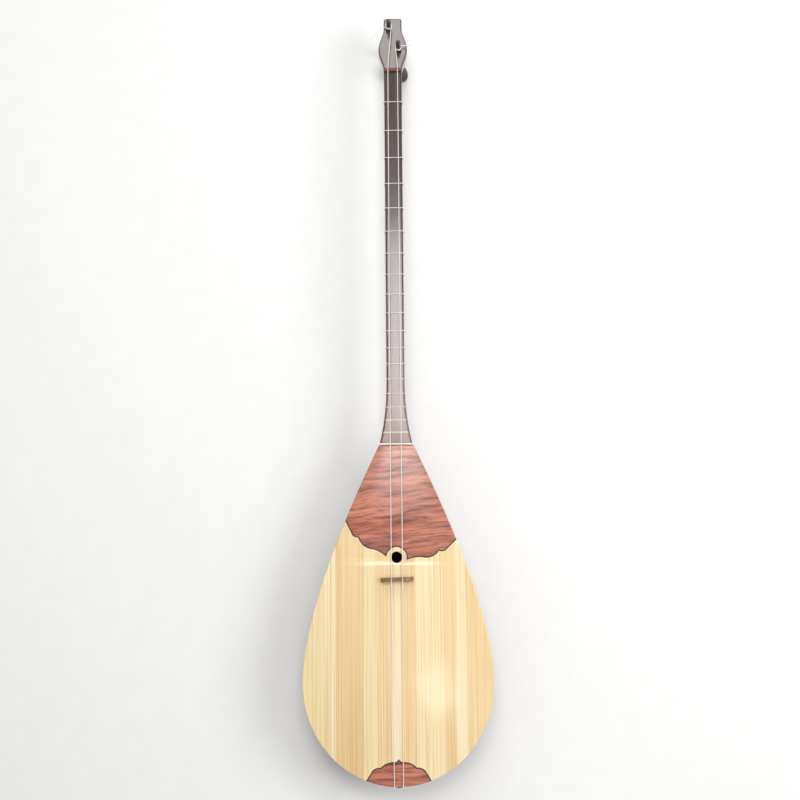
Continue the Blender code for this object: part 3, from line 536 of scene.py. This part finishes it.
def tube(points, radius, sides=12, closed=False, up=(0, 1, 0)):
    """A round tube through the points, with domed ends."""
    points = np.array([tuple(point) for point in points], float)
    if closed:
        tangents = np.roll(points, -1, 0) - np.roll(points, 1, 0)
    else:
        tangents = np.gradient(points, axis=0)
    tangents /= np.linalg.norm(tangents, axis=1)[:, None]
    side = np.array(up, float)
    if abs(side @ tangents[0]) > 0.9:
        side = np.array((1.0, 0, 0))
    angles = np.linspace(0, 2 * math.pi, sides, endpoint=False)
    rings = []

    def ring(centre, tangent, size):
        other = np.cross(tangent, side)
        return [centre + size * (math.cos(a) * side + math.sin(a) * other) for a in angles]

    for number, (point, tangent) in enumerate(zip(points, tangents)):
        side = side - tangent * (side @ tangent)
        side /= np.linalg.norm(side)
        if number == 0 and not closed:
            rings.append(ring(point - tangent * radius * 0.5, tangent, radius * 0.6))
        rings.append(ring(point, tangent, radius))
    if not closed:
        rings.append(ring(points[-1] + tangents[-1] * radius * 0.5, tangents[-1], radius * 0.6))
        return lofted(rings)
    verts, faces = lofted(rings, caps=False)
    last = len(verts) - sides
    faces += [(last + i, last + (i + 1) % sides, (i + 1) % sides, i) for i in range(sides)]
    return verts, faces


# Outlines
def flank_curve():
    first, last = FLANK_HANDLES
    start = Vector((JOINT, JOINT_HALF_WIDTH))
    end = Vector((WIDEST, HALF_WIDTH))
    lean = Vector((first, first * FLANK_SLOPE))
    return np.array(interpolate_bezier(start, start + lean, end - Vector((last, 0)), end, 200))


def keel_curve():
    start = Vector((JOINT, HEEL_DEPTH))
    end = Vector((FLAT_START, BOWL_DEPTH))
    first, last = (Vector(handle) for handle in HEEL_HANDLES)
    return np.array(interpolate_bezier(start, start + first, end - last, end, 120))


FLANK = flank_curve()
KEEL = keel_curve()


def stations(start, end, inset=0.0, steps=(56, 44)):
    """Distance, half-width and depth of the bowl from the flank to an angle on the tail."""
    made = []
    for distance in np.linspace(start, WIDEST, steps[0] + 1):
        side = float(np.interp(distance, FLANK[:, 0], FLANK[:, 1]))
        depth = float(np.interp(distance, KEEL[:, 0], KEEL[:, 1]))
        made.append((distance, side - inset, depth - inset))
    for angle in np.linspace(0, end, steps[1] + 1)[1:]:
        share = math.cos(angle)
        run = (TAIL_RUN - inset) * math.sin(angle)
        made.append((WIDEST + run, (HALF_WIDTH - inset) * share, (BOWL_DEPTH - inset) * share))
    return made


def bowl_point(station, seam):
    distance, side, depth = station
    return Vector((side * math.cos(seam), y_at(distance), RIM_Z - depth * math.sin(seam)))


def body_outline(start):
    right = [bowl_point(station, 0).xy for station in stations(start, math.pi / 2)]
    left = [Vector((-point.x, point.y)) for point in reversed(right[:-1])]
    return right + left


def arc_points(start, end, rise, step=0.0009):
    start, end = Vector(start), Vector(end)
    if abs(rise) < 1e-6:
        return [start]
    steps = max(4, round((end - start).length / step))
    chord = end - start
    half = chord.length / 2
    left = Vector((-chord.y, chord.x)).normalized()
    radius = (half * half + rise * rise) / (2 * rise)
    centre = start + chord / 2 - left * (radius - rise)
    spoke = start - centre
    spread = 2 * math.atan2(half, radius - rise)
    if rise < 0:
        spread = -2 * math.atan2(half, -(radius - rise))
    return [centre + Matrix.Rotation(-spread * i / steps, 2) @ spoke for i in range(steps)]


def right_half(scallops):
    points = []
    for (x, y, rise), following in zip(scallops, scallops[1:]):
        points += arc_points((x, y), following[:2], rise)
    return points + [Vector(scallops[-1][:2])]


def mirrored(points):
    return [Vector((-point.x, point.y)) for point in reversed(points)]


def upper_line():
    right = right_half(UPPER_SCALLOPS)
    ring = [
        Vector((RING_RADIUS * math.cos(angle), RING_RADIUS * math.sin(angle)))
        for angle in np.linspace(math.pi, 0, 41)[1:-1]
    ]
    turn = Matrix.Rotation(UPPER_TURN, 2)
    middle = Vector((HOLE_SIDE, y_at(HOLE_PLACE)))
    return [middle + turn @ point for point in mirrored(right) + ring + right]


def lower_line():
    right = right_half(LOWER_SCALLOPS)
    tail = Vector((0, y_at(WIDEST + TAIL_RUN)))
    return [tail + point for point in mirrored(right)[:-1] + right]


def beside(line, distance):
    """The line moved sideways to its left, with mitred corners."""
    moved = []
    for i, point in enumerate(line):
        before = (point - line[max(i - 1, 0)]).normalized()
        after = (line[min(i + 1, len(line) - 1)] - point).normalized()
        if i == 0:
            before = after
        if i == len(line) - 1:
            after = before
        along = (before + after).normalized()
        left = Vector((-along.y, along.x))
        moved.append(point + left * distance / max(along.dot(after), 0.6))
    return moved


def split(polygon, line):
    """The closed polygon's parts below and above a line that crosses it from left to right."""
    hits = []
    for i, start in enumerate(polygon):
        end = polygon[(i + 1) % len(polygon)]
        for j in range(len(line) - 1):
            hit = intersect_line_line_2d(start, end, line[j], line[j + 1])
            if hit:
                hits.append((j + (hit - line[j]).length, i, j, hit))
    hits.sort(key=lambda item: item[0])
    (_, enter, first, start), (_, leave, last, end) = hits[0], hits[-1]
    inner = [start] + line[first + 1:last + 1] + [end]
    count = len(polygon)
    below = inner + [polygon[(leave + 1 + k) % count] for k in range((enter - leave) % count)]
    above = inner[::-1] + [polygon[(enter + 1 + k) % count] for k in range((leave - enter) % count)]
    return below, above


OUTLINE = body_outline(JOINT + END_FRET[0] / 2 + GAP)
RIM = np.array([tuple(point) for point in OUTLINE])
RIM_STEPS = np.diff(RIM, axis=0)


def inward(point):
    """The direction into the body for a point on its rim, or none elsewhere."""
    offset = np.array(point) - RIM[:-1]
    share = np.clip((offset * RIM_STEPS).sum(1) / (RIM_STEPS ** 2).sum(1), 0, 1)
    gap = np.linalg.norm(offset - share[:, None] * RIM_STEPS, axis=1)
    nearest = int(gap.argmin())
    if gap[nearest] > 2e-5:
        return Vector((0, 0))
    across = RIM_STEPS[nearest]
    return Vector((across[1], -across[0])).normalized()


def slab(polygon, low, high, edge=0.0, hole=None):
    """A closed plate whose upper edge is rounded where it lies on the body's rim."""
    directions = [inward(point) for point in polygon]
    levels = [(low, 0.0), (high - edge, 0.0)]
    levels += [(high - edge + edge * math.sin(a), edge * (1 - math.cos(a))) for a in np.radians((22, 45, 67, 90))]
    if not edge:
        levels = [(low, 0.0), (high, 0.0)]
    rings = [
        [Vector((*(point + way * inset), height)) for point, way in zip(polygon, directions)]
        for height, inset in levels
    ]
    verts, faces = lofted(rings, caps=False)
    walls = [(0, len(polygon), len(levels))]
    if hole:
        centre, radius = hole
        rounding = min(edge, 0.0004)
        hole_rings = []
        for height, inset in ((low, 0.0), (high - rounding, 0.0), (high - rounding * 0.3, 0.3), (high, 1.0)):
            size = radius + inset * rounding
            hole_rings.append([
                Vector((centre.x + size * math.cos(a), centre.y + size * math.sin(a), height))
                for a in np.linspace(0, 2 * math.pi, 64, False)
            ])
        first = len(verts)
        verts, faces = joined((verts, faces), lofted(hole_rings, caps=False))
        walls.append((first, 64, len(hole_rings)))
    for top in (False, True):
        loops, places = [], []
        for first, count, levels_made in walls:
            start = first + (count * (levels_made - 1) if top else 0)
            loops.append([verts[start + i] for i in range(count)])
            places += range(start, start + count)
        faces += [[places[i] for i in triangle] for triangle in tessellate_polygon(loops)]
    return verts, faces


# The soundboard and its inlays
def make_soundboard():
    hole = (Vector((HOLE_SIDE, y_at(HOLE_PLACE))), HOLE_RADIUS)
    low, floor, top = z_at(-BOARD_THICK), z_at(-INLAY_THICK), z_at(0)
    half = PURFLING_WIDTH / 2
    upper, lower = upper_line(), lower_line()
    middle, _ = split(OUTLINE, beside(upper, -half - INLAY_GAP))
    _, middle = split(middle, beside(lower, half + INLAY_GAP))
    under = slab(OUTLINE, low, floor, hole=hole)
    over = slab(middle, floor, top, BOARD_EDGE, hole=hole)
    piece("soundboard_wood", *joined(under, over), LOOKS["spruce"], "spruce", replaces=["soundboard"])
    _, plate = split(OUTLINE, beside(upper, half + INLAY_GAP))
    piece("upper_plate_wood", *slab(plate, floor, top, BOARD_EDGE), LOOKS["upper"], "red_wood", replaces=["upper_plate"])
    plate, _ = split(OUTLINE, beside(lower, -half - INLAY_GAP))
    piece("lower_plate_wood", *slab(plate, floor, top, BOARD_EDGE), LOOKS["lower"], "red_wood", replaces=["lower_plate"])
    for side, line in (("upper", upper), ("lower", lower)):
        band, _ = split(OUTLINE, beside(line, half))
        _, band = split(band, beside(line, -half))
        piece(f"purfling_{side}_line", *slab(band, floor, top + 0.00004, BOARD_EDGE), LOOKS["black_line"],
              "black_line", replaces=[f"purfling_{side}"])


# The bowl: staves with fine grooves between them
def make_bowl():
    outer = stations(JOINT + GAP, CAP_ANGLE)
    inner = stations(JOINT + GAP, CAP_ANGLE, WALL)
    groove = 0.00035
    for number, (seam, following) in enumerate(zip(SEAMS, SEAMS[1:]), start=1):
        rings = []
        for outside, inside in zip(outer, inner):
            first, second = bowl_point(outside, seam), bowl_point(outside, following)
            inner_first, inner_second = bowl_point(inside, seam), bowl_point(inside, following)
            width = (second - first).length
            edge = min(0.0011 / max(width, 1e-6), 0.3)
            shrink = min(groove, width * 0.2)
            into = ((inner_first + inner_second) / 2 - (first + second) / 2).normalized() * shrink
            step = (second - first) * (0.00006 / max(width, 1e-6))
            ring = [first + into + step, first.lerp(second, edge * 0.4) + into * 0.3, first.lerp(second, edge)]
            ring += [first.lerp(second, 0.5), first.lerp(second, 1 - edge)]
            ring += [first.lerp(second, 1 - edge * 0.4) + into * 0.3, second + into - step]
            ring += [inner_second - step, inner_first + step]
            rings.append(ring)
        piece(f"stave_{number}", *lofted(rings), STAVES[number % 2], "bowl_wood", replaces=[f"rib_{number}"], angle=25)


# The neck
def neck_half_width(distance):
    if distance < NECK_TAPER_END:
        share = max(distance, 0) / NECK_TAPER_END
        return NUT_HALF_WIDTH + (NECK_HALF_WIDTH - NUT_HALF_WIDTH) * share
    if distance < NECK_FLARE_START:
        return NECK_HALF_WIDTH
    share = (distance - NECK_FLARE_START) / (JOINT - NECK_FLARE_START)
    return NECK_HALF_WIDTH + (JOINT_HALF_WIDTH - NECK_HALF_WIDTH) * share ** NECK_FLARE_POWER


def neck_back(distance):
    places, heights = zip(*NECK_BACK)
    return float(np.interp(distance, places, heights))


def neck_arch(distance, clear=0.0, sides=28):
    side = neck_half_width(distance)
    depth = NECK_TOP - neck_back(distance)
    points = []
    for angle in np.linspace(0, math.pi, sides + 1):
        across = math.copysign(abs(math.cos(angle)) ** NECK_ROUNDNESS[0], math.cos(angle))
        down = max(math.sin(angle), 0) ** NECK_ROUNDNESS[1]
        height = NECK_TOP - (depth + clear) * down
        points.append(Vector(((side + clear) * across, y_at(distance), z_at(height))))
    return points


def fingerboard_arch(distance, clear=0.0, steps=8):
    side = neck_half_width(distance)
    centre = Vector((side - SHOULDER, 0, z_at(BOARD_TOP - SHOULDER)))
    right = []
    for angle in np.linspace(math.pi / 2, 0, steps):
        reach = SHOULDER + clear
        right.append(centre + Vector((reach * math.cos(angle), y_at(distance), reach * math.sin(angle))))
    left = [Vector((-point.x, point.y, point.z)) for point in reversed(right)]
    return left + [Vector((0, y_at(distance), z_at(BOARD_TOP + clear)))] + right


def neck_places(start, end):
    straight = np.linspace(start, NECK_FLARE_START, 26, endpoint=False)
    return np.concatenate((straight, np.linspace(NECK_FLARE_START, end, 22)))


def make_neck():
    rings = [neck_arch(place) for place in neck_places(-NUT_LENGTH, JOINT)]
    piece("neck_wood_back", *lofted(rings), LOOKS["neck"], "neck_wood", replaces=["neck"], angle=40)
    rings = []
    for place in neck_places(GAP, JOINT - END_FRET[0] / 2 - GAP):
        side = neck_half_width(place)
        foot = z_at(NECK_TOP + GAP)
        rings.append(fingerboard_arch(place) + [Vector((side, y_at(place), foot)), Vector((-side, y_at(place), foot))])
    piece("fingerboard_top", *lofted(rings), LOOKS["fingerboard"], "neck_wood", replaces=["fingerboard"], angle=40)


def knot(place):
    """The overhand knot of a tied fret, at the upper side of the neck's back."""
    middle = neck_arch(place, 0.0009)[23]
    points = []
    for share in np.linspace(0, 1, 34):
        turn = share * 2 * math.pi * 1.75
        swell = 0.00075 * math.sin(math.pi * share) ** 0.5 + 0.0001
        points.append(middle + Vector((
            0.0004 * math.cos(turn * 0.5),
            (share - 0.5) * 0.0022 + swell * math.sin(turn) * 0.5,
            swell * math.cos(turn),
        )))
    return tube(points, TIED_FRET_RADIUS * 0.9, sides=8)


def make_frets():
    for number in range(1, 20):
        place = SCALE_LENGTH * (1 - 2 ** (-number / 12))
        name = f"fret_{number:02d}"
        if number <= TIED_FRETS:
            clear = TIED_FRET_RADIUS + 0.00003
            loop = fingerboard_arch(place, clear) + neck_arch(place, clear)[1:-1]
            shape = joined(tube(loop, TIED_FRET_RADIUS, closed=True), knot(place))
            piece(f"{name}_loop", *shape, LOOKS["nylon"], "nylon", replaces=[name], angle=80)
            continue
        last = number == 19
        width, height = END_FRET if last else BAR_FRET
        low = z_at(-BOARD_THICK) if last else z_at(BOARD_TOP)
        reach = neck_half_width(place) - (0.0 if last else SHOULDER * 0.75)
        rings = []
        for x in np.linspace(-1, 1, 15):
            drop = 0.0005 * max(0.0, (abs(x) - 0.9) / 0.1) ** 2
            ring = []
            for a in np.linspace(0, math.pi, 9):
                up = (height - drop) * math.sin(a) ** 0.7
                ring.append(Vector((x * reach, y_at(place) + width / 2 * math.cos(a), z_at(BOARD_TOP + up))))
            ring += [Vector((x * reach, y_at(place) + s * width / 2, low - 0.0001)) for s in (-1, 1)]
            rings.append(ring)
        piece(f"{name}_bar", *lofted(rings), LOOKS["bone"], "bone", replaces=[name], angle=50)


# The head
def make_head():
    def outline(inset):
        right = []
        for place in np.linspace(-NUT_LENGTH * 2, HEAD_SWELL_LENGTH, 60):
            share = math.sin(math.pi * min(max(place, 0), HEAD_SWELL_LENGTH) / HEAD_SWELL_LENGTH)
            right.append(Vector((HEAD_END_HALF_WIDTH + HEAD_SWELL * max(share, 0) ** HEAD_SWELL_POWER - inset, place)))
        corner = Vector((HEAD_END_HALF_WIDTH - HEAD_CORNER, HEAD_LENGTH - HEAD_CORNER))
        for angle in np.linspace(0, math.pi / 2, 14):
            right.append(corner + (HEAD_CORNER - inset) * Vector((math.cos(angle), math.sin(angle))))
        return right + mirrored(right)

    def ring(height, inset):
        nearest = (GAP - height * math.sin(HEAD_TILT)) / math.cos(HEAD_TILT)
        return [HEAD_FRAME @ Vector((point.x, max(point.y, nearest), height)) for point in outline(inset)]

    edge = HEAD_EDGE
    arcs = np.radians((0, 18, 36, 54, 72, 90))
    rings = [ring(-HEAD_THICK + edge - edge * math.sin(a), edge * (1 - math.cos(a))) for a in arcs[::-1]]
    rings += [ring(-edge + edge * math.sin(a), edge * (1 - math.cos(a))) for a in arcs]
    verts, faces = lofted(rings, caps=False)
    count = len(rings[0])
    walls = [(0, len(verts) - count, count)]
    for _, across, along, _, _ in PEGS:
        hole = []
        for height in (-HEAD_THICK, 0.0):
            size = post_radius(height) + PEG_CLEARANCE
            hole.append([
                HEAD_FRAME @ Vector((across + size * math.cos(a), along + size * math.sin(a), height))
                for a in np.linspace(0, 2 * math.pi, 40, False)
            ])
        first = len(verts)
        verts, faces = joined((verts, faces), lofted(hole, caps=False))
        walls.append((first, first + 40, 40))
    flatten = HEAD_FRAME.inverted()
    for level in (0, 1):
        loops, places = [], []
        for wall in walls:
            start, many = wall[level], wall[2]
            flat = [flatten @ verts[start + i] for i in range(many)]
            loops.append([Vector((point.x, point.y, 0)) for point in flat])
            places += range(start, start + many)
        faces += [[places[i] for i in triangle] for triangle in tessellate_polygon(loops)]
    piece("headstock_wood", verts, faces, LOOKS["head"], "head_wood", replaces=["headstock"], angle=40)


def post_radius(height):
    tip, face, back = POST_RADII
    return float(np.interp(height, (-HEAD_THICK, 0, POST_HEIGHT), (back, face, tip)))


def peg_profile(wing_middle):
    collar_radius, collar_height = COLLAR
    tall = WING[1]
    collar_top = -HEAD_THICK - GAP
    collar_foot = collar_top - collar_height
    neck_radius, waist_radius, swell_radius = STEM_RADII
    tip = POST_RADII[0]
    profile = [(0, POST_HEIGHT)]
    for angle in np.linspace(0, math.pi / 2, 12)[1:]:
        profile.append((tip * math.sin(angle), POST_HEIGHT - tip * (1 - math.cos(angle))))
    profile += [
        (POST_RADII[1], 0),
        (POST_RADII[2], -HEAD_THICK),
        (POST_RADII[2], collar_top),
        (collar_radius * 0.88, collar_top - 0.0001),
        (collar_radius * 0.97, collar_top - collar_height * 0.15),
        (collar_radius, collar_top - collar_height * 0.4),
        (collar_radius * 0.96, collar_top - collar_height * 0.62),
        (collar_radius * 0.88, collar_top - collar_height * 0.72),
        (collar_radius * 0.90, collar_top - collar_height * 0.84),
        (collar_radius * 0.77, collar_foot),
        (neck_radius, collar_foot - collar_height * 0.4),
        (waist_radius, (collar_foot + wing_middle + tall) / 2),
        ((waist_radius + swell_radius) * 0.49, (collar_foot + wing_middle + tall) / 2 * 0.5
         + (wing_middle + tall * 0.55) * 0.5),
        (swell_radius, wing_middle + tall * 0.55),
        (STEM_END[0], wing_middle),
        (0, wing_middle - STEM_END[1]),
    ]
    return profile


def wing_shape(matrix):
    """The peg's grip: an oval with rounded edges and dished sides."""
    half, tall, thick = WING
    turns = np.linspace(0, 2 * math.pi, 64, False)
    layers = [(0.0, 0.58), (0.35, 0.60), (0.6, 0.72), (0.8, 0.94), (0.9, 0.97), (0.965, 0.80), (0.99, 0.45), (1.0, 0.0)]
    rings = []
    for size, level in layers + [(s, -l) for s, l in layers[-2::-1]]:
        ring = []
        for a in turns:
            x = half * math.cos(a) * (1 - WING_TAPER * math.sin(a)) * size
            ring.append(matrix @ Vector((x, level * thick / 2, tall * math.sin(a) * size)))
        rings.append(ring)
    inner = rings[1:-1]
    verts, faces = lofted(inner, caps=False)
    for ring, base in ((rings[0], 0), (rings[-1], len(verts) - len(turns))):
        verts.append(ring[0])
        faces += [(base + i, base + (i + 1) % len(turns), len(verts) - 1) for i in range(len(turns))]
    return verts, faces


def make_peg(side, frame):
    reach = frame.translation.z / math.cos(HEAD_TILT) - WING_LIFT
    wing_middle = WING[1] - reach
    stem = turned(peg_profile(wing_middle), frame)
    wing = wing_shape(frame @ Matrix.Translation((0, 0, wing_middle)))
    piece(f"peg_{side}_turned", *joined(stem, wing), LOOKS["peg"], "peg_wood", f"peg_{side}", [f"peg_{side}"], 40)


# The strings
def string_at_nut(side):
    return Vector((side * STRING_NUT, y_at(-NUT_LENGTH * 0.75), z_at(STRING_NUT_HEIGHT)))


def winding_radius():
    return post_radius(WINDING_TOP) + STRING_RADIUS + 0.00005


def take_off(across, along, turn):
    nut = HEAD_FRAME.inverted() @ string_at_nut(-turn)
    line = Vector((nut.x - across, nut.y - along))
    swing = math.acos(winding_radius() / line.length)
    return math.atan2(line.y, line.x) + turn * swing


def on_post(frame, angle, height):
    radius = winding_radius()
    return frame @ Vector((radius * math.cos(angle), radius * math.sin(angle), height))


def winding_height(run):
    return WINDING_TOP - WINDING_PITCH * run / (2 * math.pi)


def make_winding(side, frame, start, turn, end):
    gap_angle = 2 * GAP / winding_radius()
    mirrored_start = start if turn > 0 else math.pi - start
    finish = end - math.remainder(mirrored_start, 2 * math.pi)
    runs = np.linspace(LEAD_ANGLE + gap_angle * 0.2, finish, round((finish - LEAD_ANGLE) / (2 * math.pi) * 56))
    points = [on_post(Matrix(), start + turn * run, winding_height(run)) for run in runs]
    parts, rise = LOOSE_ENDS[side]
    heading = runs[-1] * turn + start + turn * math.pi / 2
    for length, angle in parts:
        swing = math.remainder(angle - heading, 2 * math.pi)
        for i in range(1, 9):
            lean = heading + swing * min(i / 4, 1.0)
            step = Vector((math.cos(lean), math.sin(lean), rise)) * length / 8
            points.append(points[-1] + step)
        heading = angle
    points = [frame @ point for point in points]
    shape = tube(points, STRING_RADIUS, up=(0, 0, 1))
    piece(f"winding_{side}_wound", *shape, LOOKS["nylon"], "nylon", f"peg_{side}", [f"winding_{side}"], 80)


def bridge_top(side):
    across = side * STRING_BRIDGE
    return Vector((across, y_at(BRIDGE_PARKED) + math.tan(BRIDGE_TURN) * across, z_at(STRING_BRIDGE_HEIGHT)))


def between(first, second, count):
    return [first.lerp(second, share) for share in np.linspace(0, 1, count)]


def make_strings():
    """Each string from its post to the bridge, and from there one line round the tail pin."""
    for side_name, across, along, turn, _ in PEGS:
        frame = HEAD_FRAME @ Matrix.Translation((across, along, 0))
        start = take_off(across, along, turn)
        lead = [on_post(frame, start + turn * run, winding_height(run)) for run in np.linspace(0, LEAD_ANGLE, 30)]
        nut, bridge = string_at_nut(-turn), bridge_top(-turn)
        points = lead[::-1] + between(lead[0], nut, 4)[1:] + between(nut, bridge, 40)[1:]
        shape = tube(points, STRING_RADIUS, up=(0, 0, 1))
        string = piece(f"string_{side_name}_front", *shape, LOOKS["nylon"], "nylon", None, ["strings"], 80)
        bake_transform(string)
    ahead, height = TAIL_BEND_PLACE
    sides = []
    for side in (-1, 1):
        centre = Vector((side * STRING_TAIL, y_at(WIDEST + TAIL_RUN - ahead), z_at(height)))
        bend = [
            centre + TAIL_BEND * Vector((0, math.cos(angle), math.sin(angle)))
            for angle in np.linspace(math.pi / 2, math.pi, 9)
        ]
        sides.append(between(bridge_top(side), bend[0], 30)[:-1] + bend)
    radius = PIN_RADIUS + STRING_RADIUS + 0.00005
    loop = [
        Vector((radius * math.cos(angle), y_at(PIN_GROOVE), z_at(PIN_DEPTH) + radius * math.sin(angle)))
        for angle in np.linspace(math.pi, 2 * math.pi, 25)
    ]
    drop = [between(sides[0][-1], loop[0], 6)[1:-1], between(loop[-1], sides[1][-1], 6)[1:-1]]
    points = sides[0] + drop[0] + loop + drop[1] + sides[1][::-1]
    shape = tube(points, STRING_RADIUS, up=(0, 0, 1))
    tail = piece("string_tail_loop", *shape, LOOKS["nylon"], "nylon", None, ["strings"], 80)
    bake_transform(tail)


def make_tail_pin():
    reach = PIN_END - PIN_GROOVE
    head = PIN_HEAD_RADIUS
    profile = [(0, reach)]
    profile += [(head * s, reach - d) for s, d in (
        (0.30, 0.00005), (0.55, 0.0002), (0.78, 0.0005), (0.92, 0.0010), (1.0, 0.0017), (0.97, 0.0023), (0.86, 0.0028),
    )]
    profile += [(PIN_RADIUS, reach - 0.0032), (PIN_RADIUS, -PIN_SHANK + 0.001), (PIN_RADIUS * 0.7, -PIN_SHANK + 0.0001)]
    profile += [(0, -PIN_SHANK)]
    matrix = Matrix.Translation((0, y_at(PIN_GROOVE), z_at(PIN_DEPTH))) @ Matrix.Rotation(math.pi / 2, 4, "X")
    piece("tail_pin_turned", *turned(profile, matrix), LOOKS["peg"], "peg_wood", replaces=["tail_pin"], angle=50)


def dress(node, look, edge=0.0):
    """A CAD node kept as it is, with a better material and softened edges."""
    obj = frame["nodes"][node]
    for slot in obj.material_slots:
        slot.material = look
    if edge:
        bevel = obj.modifiers.new("soft edges", "BEVEL")
        bevel.width = edge
        bevel.segments = 3
        bevel.limit_method = "ANGLE"
        bevel.angle_limit = math.radians(40)


make_soundboard()
make_bowl()
make_neck()
make_frets()
make_head()
for name, across, along, turn, end in PEGS:
    peg_frame = HEAD_FRAME @ Matrix.Translation((across, along, 0))
    make_peg(name, peg_frame)
    make_winding(name, peg_frame, take_off(across, along, turn), turn, end)
make_strings()
make_tail_pin()
dress("nut", LOOKS["nut"], 0.0002)
dress("bridge", LOOKS["bridge"], 0.0002)
dress("tail_cap", LOOKS["cap"], 0.0003)
for node in ("neck_block", "tail_block", "lining_left", "lining_right", "brace_upper", "brace_middle", "brace_lower"):
    dress(node, LOOKS["inner"])


# Floor and lights
def make_floor():
    finish = Finish("floor_paper", roughness=0.85, specular=0.2)
    mottle = finish.noise(finish.place((40, 40, 40)), detail=3)
    finish.set("Base Color", finish.ramp(mottle, [(0.3, (0.80, 0.80, 0.79)), (0.7, (0.82, 0.82, 0.81))]))
    mesh = bpy.data.meshes.new("floor")
    reach = 8.0
    corners = [(-reach, -reach, 0), (reach, -reach, 0), (reach, reach, 0), (-reach, reach, 0)]
    mesh.from_pydata(corners, [], [(0, 1, 2, 3)])
    mesh.materials.append(finish.done())
    floor = bpy.data.objects.new("floor", mesh)
    floor.location.z = -0.0002
    bpy.context.scene.collection.objects.link(floor)


def area_light(name, place, target, size, power, color=(1, 1, 1)):
    light = bpy.data.lights.new(name, "AREA")
    light.shape = "RECTANGLE"
    light.size, light.size_y = size
    light.energy = power
    light.color = color
    obj = bpy.data.objects.new(name, light)
    obj.location = place
    obj.rotation_euler = (Vector(target) - Vector(place)).to_track_quat("-Z", "Y").to_euler()
    bpy.context.scene.collection.objects.link(obj)


def make_lights():
    area_light("over_neck", (0.02, 0.64, 1.57), (0.02, 0.6399, 0), (0.55, 0.56), 9.5)
    area_light("beyond_head", (0.0, 2.35, 1.60), (0, 0.69, 0.06), (1.2, 0.9), 15)
    area_light("sheen", (0.19, -0.31, 1.57), (0.08, -0.05, 0.07), (0.18, 0.22), 0.9, (1.0, 0.93, 0.93))
    area_light("right", (1.35, 0.25, 1.30), (0, 0.2, 0.05), (0.9, 0.9), 15)
    world = bpy.data.worlds.new("studio")
    world.use_nodes = True
    background = world.node_tree.nodes["Background"]
    background.inputs["Color"].default_value = (1, 1, 1, 1)
    background.inputs["Strength"].default_value = 0.5
    bpy.context.scene.world = world


make_floor()
make_lights()
bpy.context.scene.view_settings.view_transform = "Standard"
